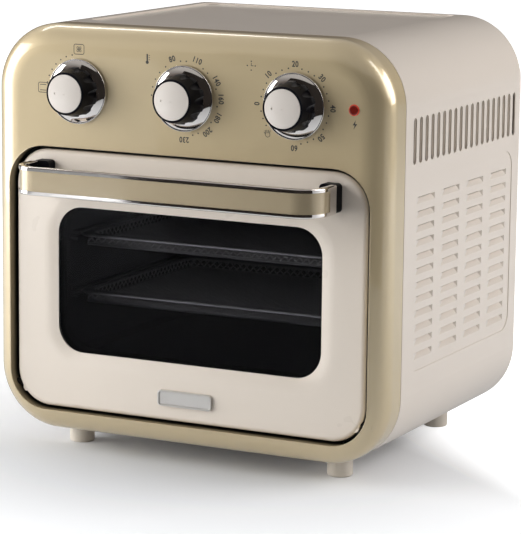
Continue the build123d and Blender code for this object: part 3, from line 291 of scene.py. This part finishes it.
BY_NAME = {
    "front_frame": beige,
    "handle_inlay": beige_inlay,
    "outer_shell": cream,
    "rear_cover": cream,
    "door_frame": cream_door,
    "door_glass": dark_glass,
    "door_inner_glass": clear_glass,
    "door_inner_frame": dark_enamel,
    "door_hinge_pins": pin_steel,
    "handle_bar": handle_chrome,
    "handle_block_left": black_plastic,
    "handle_block_right": black_plastic,
    "badge_plate": badge_metal,
    "lamp_lens": red_lens,
    "lamp_holder": white_plastic,
    "cavity_liner": liner_metal,
    "cavity_mouth": liner_metal,
    "fan_housing": liner_metal,
    "tray_rails": liner_metal,
    "mesh_tray_upper": tray_chrome,
    "mesh_tray_lower": tray_chrome,
    "drip_tray": dark_enamel,
    "heater_element": heater_steel,
    "heater_guard": plated_steel,
    "hot_air_fan": aluminium,
    "cooling_fan": aluminium,
    "fan_motor": plated_steel,
    "motor_bridge": plated_steel,
    "control_bracket": plated_steel,
    "thermostat": brown_plastic,
    "selector_switch": white_plastic,
    "timer": plated_steel,
    "timer_bell": bell_brass,
    "thermal_cutout": brown_plastic,
    "terminal_block": white_plastic,
    "cable_gland": black_plastic,
    "base_plate": plated_steel,
}
BY_ENDING = {
    "_skirt": skirt_chrome,
    "_grip": grip_black,
    "_cap": cap_cream,
    "_shaft": screw_steel,
    "_screws": screw_steel,
}


def finish_of(name):
    """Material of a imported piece: by its ending, as a foot, or by its whole name."""
    for ending, finish in BY_ENDING.items():
        if name.endswith(ending):
            return finish.material
    if name.startswith("foot_"):
        return foot_cream.material
    return BY_NAME[name].material


for name, node in NODES.items():
    if not node.material_slots:
        node.data.materials.append(finish_of(name))
    for slot in node.material_slots:
        slot.material = finish_of(name)


# Upright rounded outlines on the front: half width, half height, middle and corner
def upright(half_x, low, high, corner):
    return half_x, (high - low) / 2, (high + low) / 2, corner


OPENING_X, OPENING_LOW, OPENING_HIGH, OPENING_CORNER = 151.7 * MM, 31.8 * MM, 237.35 * MM, 30.5 * MM
DOOR_X, DOOR_LOW, DOOR_HIGH, DOOR_CORNER = 148 * MM, 34.1 * MM, 234.7 * MM, 28 * MM
FRAME_CORNER = 50 * MM
FRAME_LOW, FRAME_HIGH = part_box("front_frame")
OPENING = upright(OPENING_X, OPENING_LOW, OPENING_HIGH, OPENING_CORNER)
DOOR = upright(DOOR_X, DOOR_LOW, DOOR_HIGH, DOOR_CORNER)
FRAME = upright(FRAME_HIGH.x, FRAME_LOW.z, FRAME_HIGH.z, FRAME_CORNER)

# The face starts to bend well inside the frame's rolled edge
beige.crown(FRAME, start=-23 * MM, middle=-15 * MM, end=-2 * MM, slope=0.26)

# The opening's inner wall and the door's edge lie in the dark, and so do the lugs past the door's corners; all
# of them get painted shade
WHOLE_EDGE = 20 * MM
beige.shade_walls(OPENING, past=FACE_Y + 4.5 * MM, depth=6 * MM, inside=-16 * MM, outside=SOFT)
cream_door.shade_walls(DOOR, past=DOOR_Y + 1.4 * MM, depth=1.6 * MM, inside=-1 * MM, outside=WHOLE_EDGE)
cream_door.shade_walls(DOOR, past=DOOR_Y + 0.3 * MM, depth=0.3 * MM, inside=0.1 * MM, outside=WHOLE_EDGE)


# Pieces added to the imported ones
def new_object(name, data):
    item = bpy.data.objects.new(name, data)
    bpy.context.scene.collection.objects.link(item)
    return item


def mesh_piece(name, bm, finish, body, smooth=False):
    mesh = bpy.data.meshes.new(name)
    bm.normal_update()
    bm.to_mesh(mesh)
    bm.free()
    piece = new_object(name, mesh)
    mesh.materials.append(finish.material)
    for polygon in mesh.polygons:
        polygon.use_smooth = smooth
    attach(piece, body)
    return piece


def circle(radius, sides):
    turns = (2 * math.pi * i / sides for i in range(sides))
    return [(radius * math.cos(turn), radius * math.sin(turn)) for turn in turns]


def join_loops(bm, loops):
    """Faces between closed loops of as many points each, the last loop joined to the first."""
    sides = len(loops[0])
    for i, here in enumerate(loops):
        there = loops[(i + 1) % len(loops)]
        for k in range(sides):
            j = (k + 1) % sides
            bm.faces.new((here[k], there[k], there[j], here[j]))


# Printed marks: flat shapes on the front frame's face, all measures in x and z
INK = 0.04 * MM
INK_BACK = 0.2 * INK
LINE, THIN = 0.5 * MM, 0.42 * MM


def add_outline(bm, points, x, z):
    """Flat printed shape with its points about a centre."""
    front = [bm.verts.new((x + px, FACE_Y - INK, z + pz)) for px, pz in points]
    back = [bm.verts.new((x + px, FACE_Y - INK_BACK, z + pz)) for px, pz in points]
    bm.faces.new(front)
    bm.faces.new(list(reversed(back)))
    for i in range(len(points)):
        k = (i + 1) % len(points)
        bm.faces.new((front[i], back[i], back[k], front[k]))


def disc(bm, x, z, radius, sides=16):
    add_outline(bm, circle(radius, sides), x, z)


def stroke(bm, a, b, width):
    """Straight printed line between two points."""
    (ax, az), (bx, bz) = a, b
    length = math.hypot(bx - ax, bz - az)
    side_x, side_z = (bz - az) / length * width / 2, (bx - ax) / length * width / 2
    points = [
        (ax - side_x, az + side_z),
        (ax + side_x, az - side_z),
        (bx + side_x, bz - side_z),
        (bx - side_x, bz + side_z),
    ]
    add_outline(bm, points, 0, 0)


def arc(bm, x, z, radius, width, start=0, end=360, steps=12):
    """Printed part of a ring, as short strokes between two angles in degrees."""
    turns = [math.radians(start + (end - start) * i / steps) for i in range(steps + 1)]
    points = [(x + radius * math.cos(turn), z + radius * math.sin(turn)) for turn in turns]
    for a, b in zip(points, points[1:]):
        stroke(bm, a, b, width)


def rounded_box(bm, box, corner=1.4 * MM):
    """Printed outline of a box with rounded corners."""
    x0, x1, z0, z1 = box
    for z in (z0, z1):
        stroke(bm, (x0 + corner, z), (x1 - corner, z), LINE)
    for x in (x0, x1):
        stroke(bm, (x, z0 + corner), (x, z1 - corner), LINE)
    corners = ((x1, z1, -1, -1, 0), (x0, z1, 1, -1, 90), (x0, z0, 1, 1, 180), (x1, z0, -1, 1, 270))
    for x, z, inward_x, inward_z, start in corners:
        arc(bm, x + inward_x * corner, z + inward_z * corner, corner, LINE, start, start + 90, 5)


FIGURE_HEIGHT, FIGURE_BOLD = 4.2 * MM, 0.16 * MM
FIGURE_SHARE, FIGURE_GAP, FIGURE_NARROW = 0.72, 1.1, 0.86


def add_text(bm, text, x, z, turn):
    """Plain printed figures, centred on a point and turned clockwise by the given degrees."""
    curve = bpy.data.curves.new("figures", "FONT")
    curve.body = text
    curve.size = FIGURE_HEIGHT / FIGURE_SHARE
    curve.align_x = "CENTER"
    curve.align_y = "CENTER"
    curve.extrude = INK / 2
    curve.space_character = FIGURE_GAP
    curve.resolution_u = 4
    curve.offset = FIGURE_BOLD
    writing = new_object("figures", curve)
    bpy.context.view_layer.update()
    shape = bpy.data.meshes.new_from_object(writing.evaluated_get(bpy.context.evaluated_depsgraph_get()))
    stand = Matrix.Rotation(math.radians(90), 4, "X")
    spin = Matrix.Rotation(math.radians(turn), 4, "Y")
    place = Matrix.Translation((x, FACE_Y - INK / 2 - INK_BACK, z))
    shape.transform(place @ spin @ stand @ Matrix.Diagonal((FIGURE_NARROW, 1, 1, 1)))
    bm.from_mesh(shape)
    bpy.data.objects.remove(writing)
    bpy.data.meshes.remove(shape)
    bpy.data.curves.remove(curve)


# Places round a dial: angles run clockwise from the top, in degrees
DOT_CIRCLE, FIGURE_CIRCLE, SIGN_CIRCLE = 27.56 * MM, 30.3 * MM, 30.5 * MM
DOT = 0.6 * MM
DOT_STEP = 11.25
TIMER_STEP = 4 * DOT_STEP


def polar(centre_x, radius, angle):
    a = math.radians(angle)
    return centre_x + radius * math.sin(a), DIAL_Z + radius * math.cos(a)


def add_dots(bm, centre_x, angles):
    for angle in angles:
        disc(bm, *polar(centre_x, DOT_CIRCLE, angle), DOT)


def add_figures(bm, centre_x, figures):
    for figure, angle in figures:
        add_text(bm, figure, *polar(centre_x, FIGURE_CIRCLE, angle), angle)


OVEN_SIGN = (-125.3 * MM, -116.9 * MM, 277.8 * MM, 285.3 * MM)
FAN_SIGN = (-94.1 * MM, -85.4 * MM, 308.2 * MM, 315.6 * MM)


def oven_sign(bm):
    """A box with a line for its upper and its lower heat."""
    inset_x, inset_z = 1.5 * MM, 1.7 * MM
    x0, x1, z0, z1 = OVEN_SIGN
    rounded_box(bm, OVEN_SIGN)
    for z in (z1 - inset_z, z0 + inset_z):
        stroke(bm, (x0 + inset_x, z), (x1 - inset_x, z), LINE)


def fan_sign(bm):
    """A box with a fan of four round blades."""
    hub, blade, reach = 0.45 * MM, 0.8 * MM, 1.5 * MM
    x0, x1, z0, z1 = FAN_SIGN
    x, z = (x0 + x1) / 2, (z0 + z1) / 2
    rounded_box(bm, FAN_SIGN)
    disc(bm, x, z, hub)
    for i in range(4):
        turn = math.radians(45 + 90 * i)
        arc(bm, x + reach * math.cos(turn), z + reach * math.sin(turn), blade, THIN)


def selector_marks():
    bm = bmesh.new()
    add_dots(bm, SELECTOR_X, [-DOT_STEP * (i + 1) for i in range(7)])
    oven_sign(bm)
    fan_sign(bm)
    mesh_piece("selector_marks", bm, mark_ink, "casing")


TEMPERATURES = (
    ("80", -20),
    ("110", 20),
    ("140", 61),
    ("160", 87),
    ("180", 114),
    ("200", 140.5),
    ("230", 180),
)
TEMPERATURE_DOTS = (-88, -75, -62, -49, -35, -7, 3, 34, 44, 72, 99, 126, 155, 165)


def thermometer_sign(bm, x=-31.3 * MM, z=305.4 * MM):
    """Bulb, tube and three short ticks."""
    bulb, tube, tick = 1.3 * MM, 1.2 * MM, 0.4 * MM
    stroke(bm, (x, z + 0.6 * MM), (x, z + 6.1 * MM), tube)
    disc(bm, x, z, bulb)
    for i in range(3):
        tick_z = z + (2.0 + 1.5 * i) * MM
        stroke(bm, (x + 1.2 * MM, tick_z), (x + 2.3 * MM, tick_z), tick)


def temperature_marks():
    bm = bmesh.new()
    add_figures(bm, TEMPERATURE_X, TEMPERATURES)
    add_dots(bm, TEMPERATURE_X, TEMPERATURE_DOTS)
    thermometer_sign(bm)
    mesh_piece("temperature_marks", bm, mark_ink, "casing")


MINUTES = [(str(10 * i), -90 + TIMER_STEP * i) for i in range(7)]
HOLD_DOTS = (-101, -112.5, -124)


def hand_sign(bm, x, z):
    """Open hand: a palm, four fingers that spread a little, and a thumb."""
    palm, finger_gap, finger_lean = 1.9 * MM, 0.95 * MM, 0.45 * MM
    palm_z, root_z, tip_z = z - 0.4 * MM, z + 0.5 * MM, z + 3.1 * MM
    arc(bm, x, palm_z, palm, THIN, 150, 390, 14)
    for i in range(4):
        root, lean = x + (i - 1.5) * finger_gap, (i - 1.5) * finger_lean
        stroke(bm, (root, root_z), (root + lean, tip_z - abs(lean) * 0.6), LINE)
    stroke(bm, (x - 1.7 * MM, palm_z), (x - 2.9 * MM, z + 1.2 * MM), LINE)


def clock_sign(bm, x=54.9 * MM, z=307.6 * MM):
    """Four dots of a dial and two hands."""
    for px, pz in circle(3.2 * MM, 4):
        disc(bm, x + px, z + pz, 0.55 * MM, 12)
    stroke(bm, (x, z - 0.2 * MM), (x, z + 2.0 * MM), LINE)
    stroke(bm, (x - 0.2 * MM, z), (x + 1.8 * MM, z), LINE)


def timer_marks():
    bm = bmesh.new()
    add_figures(bm, TIMER_X, MINUTES)
    for _, angle in MINUTES[:-1]:
        add_dots(bm, TIMER_X, [angle + DOT_STEP * k for k in (1, 2, 3)])
    add_dots(bm, TIMER_X, HOLD_DOTS)
    hand_sign(bm, *polar(TIMER_X, SIGN_CIRCLE, -135))
    clock_sign(bm)
    mesh_piece("timer_marks", bm, mark_ink, "casing")


def lamp_mark():
    """Lightning sign under the lamp."""
    bm = bmesh.new()
    bolt = ((0.7, 3.4), (-1.7, -0.3), (-0.15, -0.3), (-1.0, -3.4), (1.8, 0.7), (0.15, 0.7))
    add_outline(bm, [(px * MM, pz * MM) for px, pz in bolt], 138.2 * MM, 269.8 * MM)
    mesh_piece("lamp_mark", bm, mark_ink, "casing")


# Beads along closed paths of points (x, z) and outward angles
def round_path(x, z, radius, steps):
    turns = [2 * math.pi * i / steps for i in range(steps)]
    return [(x + radius * math.cos(turn), z + radius * math.sin(turn), turn) for turn in turns]


def rounded_path(x0, x1, z0, z1, corner, steps):
    """Rounded box, anticlockwise from its right side."""
    left, right, low, high = x0 + corner, x1 - corner, z0 + corner, z1 - corner
    path = []
    for x, z, start in ((right, high, 0), (left, high, 90), (left, low, 180), (right, low, 270)):
        for i in range(steps + 1):
            turn = math.radians(start + 90 * i / steps)
            path.append((x + corner * math.cos(turn), z + corner * math.sin(turn), turn))
    return path


def add_bead(bm, path, y, radius, sides):
    section = circle(radius, sides)
    loops = []
    for x, z, turn in path:
        points = [(x + out * math.cos(turn), y + deep, z + out * math.sin(turn)) for out, deep in section]
        loops.append([bm.verts.new(point) for point in points])
    join_loops(bm, loops)
    bmesh.ops.recalc_face_normals(bm, faces=bm.faces)


def lamp_ring():
    """Bright ring round the lamp's lens."""
    radius, bead, sink = 3.5 * MM, 0.75 * MM, 0.1 * MM
    bm = bmesh.new()
    path = round_path(middle("lamp_lens", 0), middle("lamp_lens", 2), radius, 32)
    add_bead(bm, path, FACE_Y - sink, bead, 10)
    mesh_piece("lamp_ring", bm, lens_ring, "casing", smooth=True)


def badge_rim():
    """Raised rim of the blank badge."""
    half_x, low, high, corner = 22 * MM, 46.9 * MM, 57.5 * MM, 2.2 * MM
    bead, stand = 0.6 * MM, 2.1 * MM
    bm = bmesh.new()
    path = rounded_path(-half_x, half_x, low, high, corner, 10)
    add_bead(bm, path, DOOR_Y - stand, bead, 8)
    mesh_piece("badge_rim", bm, badge_metal, "door", smooth=True)


def opening_lip():
    """Thin lip round the door's opening."""
    bead = 0.4 * MM
    bm = bmesh.new()
    path = rounded_path(-OPENING_X, OPENING_X, OPENING_LOW, OPENING_HIGH, OPENING_CORNER, 10)
    add_bead(bm, path, FACE_Y + bead / 2, bead, 8)
    mesh_piece("opening_lip", bm, beige, "casing", smooth=True)


def slot_baffle(name, side):
    """Sheet behind the slots of one side, 1 for the right and -1 for the left."""
    thickness, length, low, high = 0.5 * MM, 212 * MM, 233 * MM, 276 * MM
    behind, from_face = 3.8 * MM, 144 * MM
    bm = bmesh.new()
    bmesh.ops.create_cube(bm, size=1.0)
    x = side * (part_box("outer_shell")[1].x - behind)
    place = Matrix.Translation((x, FACE_Y + from_face, (low + high) / 2))
    bm.transform(place @ Matrix.Diagonal((thickness, length, high - low, 1)))
    mesh_piece(name, bm, baffle_sheet, "casing")


selector_marks()
temperature_marks()
timer_marks()
lamp_ring()
badge_rim()
opening_lip()
slot_baffle("slot_baffle_left", -1)
slot_baffle("slot_baffle_right", 1)
lamp_mark()

# Mesh trays: a flat rim, and walls and floor of crossed wires
RIM_HEIGHT, RIM_WIDTH, RIM_CORNER = 2.4 * MM, 7.5 * MM, 14 * MM
RIM_SOFT = 0.3 * RIM_HEIGHT
MESH_PITCH, MESH_WIRE, EDGE_WIRE = 6.2 * MM, 0.42 * MM, 0.9 * MM
MESH_LIFT = 1.2 * MM


def add_wire(bm, a, b, half):
    """Square wire between two points."""
    a, b = Vector(a), Vector(b)
    along = (b - a).normalized()
    side = along.orthogonal().normalized() * half
    other = along.cross(side.normalized()) * half
    corners = [side * p + other * q for p, q in ((1, 1), (-1, 1), (-1, -1), (1, -1))]
    start, end = ([bm.verts.new(point + corner) for corner in corners] for point in (a, b))
    for i in range(4):
        k = (i + 1) % 4
        bm.faces.new((start[i], start[k], end[k], end[i]))
    bm.faces.new(list(reversed(start)))
    bm.faces.new(end)


def add_mesh(bm, to_point, width, height):
    """Two families of slanted wires over a panel, clipped at its edges."""
    for i in range(1, int((width + height) / MESH_PITCH) + 1):
        start = i * MESH_PITCH
        u0, v0 = (start, 0.0) if start <= width else (width, start - width)
        u1, v1 = (start - height, height) if start >= height else (0.0, start)
        if math.hypot(u1 - u0, v1 - v0) < MESH_PITCH / 3:
            continue
        add_wire(bm, to_point(u0, v0), to_point(u1, v1), MESH_WIRE)
        add_wire(bm, to_point(width - u0, v0), to_point(width - u1, v1), MESH_WIRE)


def add_rim(bm, low, high):
    """Flat rim with softened edges along the top of a tray's box."""
    top, under = high.z, high.z - RIM_HEIGHT
    x, y = (low.x + high.x) / 2, (low.y + high.y) / 2
    half_x, half_y = (high.x - low.x) / 2, (high.y - low.y) / 2
    inner, soft = RIM_WIDTH, RIM_SOFT
    section = (
        (0, under + soft),
        (soft, under),
        (inner - soft, under),
        (inner, under + soft),
        (inner, top - soft),
        (inner - soft, top),
        (soft, top),
        (0, top - soft),
    )
    path = rounded_path(-half_x, half_x, -half_y, half_y, RIM_CORNER, 8)
    loops = []
    for draw, z in section:
        share_x, share_y = 1 - draw / half_x, 1 - draw / half_y
        loops.append([bm.verts.new((x + px * share_x, y + py * share_y, z)) for px, py, _ in path])
    join_loops(bm, loops)


def mesh_tray(name):
    """The tray's wire form in place of its packed sheet."""
    low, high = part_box("mesh_tray_" + name)
    bm = bmesh.new()
    add_rim(bm, low, high)
    x0, x1 = low.x + RIM_WIDTH, high.x - RIM_WIDTH
    y0, y1 = low.y + RIM_WIDTH, high.y - RIM_WIDTH
    z0, z1 = low.z + MESH_LIFT, high.z - RIM_HEIGHT / 2
    add_mesh(bm, lambda u, v: (x0 + u, y0 + v, z0), x1 - x0, y1 - y0)
    for y in (y0, y1):
        add_mesh(bm, lambda u, v: (x0 + u, y, z1 - v), x1 - x0, z1 - z0)
    for x in (x0, x1):
        add_mesh(bm, lambda u, v: (x, y0 + u, z1 - v), y1 - y0, z1 - z0)
    edge = ((x0, y0), (x1, y0), (x1, y1), (x0, y1))
    for i in range(4):
        add_wire(bm, (*edge[i], z0), (*edge[(i + 1) % 4], z0), EDGE_WIRE)
    piece = mesh_piece(name + "_tray_mesh", bm, tray_chrome, name + "_tray")
    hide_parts("mesh_tray_" + name)


mesh_tray("upper")
mesh_tray("lower")

# Floor: a glow of its own makes it white to the camera, growing away from the object and to its right rear
FLOOR_HALF = 8.0
FLOOR_WHITE = (0.77, 0.785, 0.81)
GLOW, GLOW_NEAR, GLOW_FAR = 0.95, 0.10, 0.60
SIDE_GLOW, SIDE_NEAR, SIDE_FAR = 0.9, 0.13, 0.27


def white_floor():
    mesh = bpy.data.meshes.new("studio_floor")
    corners = [(-1, -1), (1, -1), (1, 1), (-1, 1)]
    mesh.from_pydata([(x * FLOOR_HALF, y * FLOOR_HALF, 0) for x, y in corners], [], [(0, 1, 2, 3)])
    m = Mat("floor_white", FLOOR_WHITE, 0.9, spec=0.1)
    m.tone(m.noise(2, 2), 0.004)
    distance = m.node("ShaderNodeVectorMath", {0: m.coordinates}, operation="LENGTH").outputs["Value"]
    away = m.span(distance, 0, GLOW, GLOW_NEAR, GLOW_FAR, "LINEAR")
    beside = m.span(m.calc("ADD", m.axis("X"), m.axis("Y")), 0, SIDE_GLOW, SIDE_NEAR, SIDE_FAR)
    rays = m.node("ShaderNodeLightPath").outputs
    seen = m.calc("MAXIMUM", rays["Is Camera Ray"], rays["Is Transmission Ray"])
    strength = m.calc("MULTIPLY", m.calc("MAXIMUM", away, beside), seen)
    glow = m.node("ShaderNodeEmission", {"Strength": strength}).outputs[0]
    both = m.node("ShaderNodeAddShader", {0: m.shader.outputs[0], 1: glow}).outputs[0]
    m.tree.links.new(both, m.tree.nodes["Material Output"].inputs["Surface"])
    mesh.materials.append(m.material)
    new_object("studio_floor", mesh)


# World: white to the camera, even fill for matt surfaces, a studio with a dark horizon for glossy ones
FILL, FILL_COLOR = 0.34, (0.98, 0.99, 1.0)
STUDIO_BANDS = (
    (0.0, (0.09, 0.075, 0.065)),
    (0.3, (0.13, 0.11, 0.10)),
    (0.55, (0.42, 0.40, 0.38)),
    (1.0, (0.5, 0.48, 0.46)),
)


def studio_world():
    world = bpy.data.worlds.new("studio")
    world.use_nodes = True
    world.node_tree.nodes.clear()
    make = Nodes(world.node_tree)
    rays = make.node("ShaderNodeLightPath").outputs
    direction = make.node("ShaderNodeTexCoord").outputs["Generated"]
    height = make.node("ShaderNodeSeparateXYZ", {0: direction}).outputs["Z"]
    ramp = make.node("ShaderNodeValToRGB", {"Fac": height})
    while len(ramp.color_ramp.elements) < len(STUDIO_BANDS):
        ramp.color_ramp.elements.new(0.5)
    for element, (place, color) in zip(ramp.color_ramp.elements, STUDIO_BANDS):
        element.position = place
        element.color = (*color, 1)
    white = make.node("ShaderNodeBackground", {"Color": (1, 1, 1, 1), "Strength": 1.0})
    fill = make.node("ShaderNodeBackground", {"Color": (*FILL_COLOR, 1), "Strength": FILL})
    studio = make.node("ShaderNodeBackground", {"Color": ramp.outputs["Color"], "Strength": 1.0})
    lit = {"Fac": rays["Is Glossy Ray"], 1: fill.outputs[0], 2: studio.outputs[0]}
    surroundings = make.node("ShaderNodeMixShader", lit).outputs[0]
    seen = {"Fac": rays["Is Camera Ray"], 1: surroundings, 2: white.outputs[0]}
    make.node("ShaderNodeOutputWorld", {"Surface": make.node("ShaderNodeMixShader", seen).outputs[0]})
    bpy.context.scene.world = world


def around(azimuth, distance, height):
    """Place beside the object: azimuth 0 is straight in front, 90 is to the right."""
    a = math.radians(azimuth)
    return Vector((distance * math.sin(a), -distance * math.cos(a), height))


def area_light(name, place, aim, size, power, color=(1, 1, 1), matt=True, glossy=True):
    """Rectangular lamp that the camera doesn't see, for matt surfaces, glossy ones or both."""
    data = bpy.data.lights.new(name, "AREA")
    data.shape = "RECTANGLE"
    data.size, data.size_y = size
    data.energy = power
    data.color = color
    lamp = new_object(name, data)
    lamp.location = place
    lamp.rotation_euler = (Vector(aim) - place).to_track_quat("-Z", "Y").to_euler()
    lamp.visible_camera = False
    lamp.visible_diffuse = matt
    lamp.visible_glossy = glossy


FLAG_START, FLAG_END, FLAG_STEPS = -27, 62, 18
FLAG_DISTANCE, FLAG_HEIGHT = 1.0, 0.85


def dark_flag():
    """Curved dark cloth in front, that the camera doesn't see and that throws no shadow."""
    points = []
    for i in range(FLAG_STEPS + 1):
        azimuth = FLAG_START + (FLAG_END - FLAG_START) * i / FLAG_STEPS
        points += [around(azimuth, FLAG_DISTANCE, height) for height in (0.0, FLAG_HEIGHT)]
    faces = [(2 * i, 2 * i + 2, 2 * i + 3, 2 * i + 1) for i in range(FLAG_STEPS)]
    mesh = bpy.data.meshes.new("studio_flag")
    mesh.from_pydata(points, [], faces)
    m = Mat("flag_cloth", (0.03, 0.025, 0.022), 0.9, spec=0.0)
    m.tone(m.noise(60, 2), 0.1)
    mesh.materials.append(m.material)
    flag = new_object("studio_flag", mesh)
    flag.visible_camera = False
    flag.visible_transmission = False
    flag.visible_shadow = False


# The outer lamps aim at the object's middle or level past it, and a faint one lights the cavity from its mouth
MIDDLE = (0, -0.05, 0.16)
WARM_WHITE = (1, 0.98, 0.965)
CAVITY_PLACE = Vector((0.03, FACE_Y + 0.028, 0.15))
CAVITY_AIM = (0.03, FACE_Y + 0.2, 0.12)

white_floor()
studio_world()
area_light("left_softbox", around(-54, 1.4, 0.5), aim=(0, 0, 0.5), size=(1.5, 1.15), power=29, glossy=False)
area_light("left_card", around(-72, 1.4, 0.46), aim=(0, 0, 0.46), size=(0.85, 0.92), power=10, matt=False)
area_light("right_softbox", around(112, 1.5, 0.8), MIDDLE, size=(1.0, 1.0), power=16, color=WARM_WHITE)
area_light("upper_card", around(-115, 0.9, 1.35), MIDDLE, size=(1.0, 0.14), power=2.2, matt=False)
area_light("edge_card", around(86, 1.2, 1.1), MIDDLE, size=(0.30, 1.3), power=4.6, matt=False)
area_light("cavity_light", CAVITY_PLACE, CAVITY_AIM, size=(0.2, 0.1), power=0.016)
dark_flag()

# Camera as fitted to the photograph, its place measured from the middle of the front face on the floor
CAMERA_PLACE = (0.92826, -1.72294, 0.50631)
CAMERA_RIGHT = Vector((0.89299, 0.44996, 0.01027))
CAMERA_UP = Vector((-0.08856, 0.15328, 0.98421))
CAMERA_AHEAD = Vector((-0.44128, 0.87980, -0.17673))
SENSOR_WIDTH, FOCAL_PIXELS, LONG_SIDE_PIXELS = 36, 2672.14, 534

camera_data = bpy.data.cameras.new("camera")
camera_data.lens = SENSOR_WIDTH * FOCAL_PIXELS / LONG_SIDE_PIXELS
camera_data.clip_start = 0.05
camera_data.clip_end = 50
camera = new_object("camera", camera_data)
turn = Matrix((CAMERA_RIGHT, CAMERA_UP, -CAMERA_AHEAD)).transposed().to_4x4()
camera.matrix_world = Matrix.Translation(Vector(CAMERA_PLACE) + Vector((0, FACE_Y, 0))) @ turn

bpy.context.scene.camera = camera
bpy.context.scene.view_settings.view_transform = "Standard"
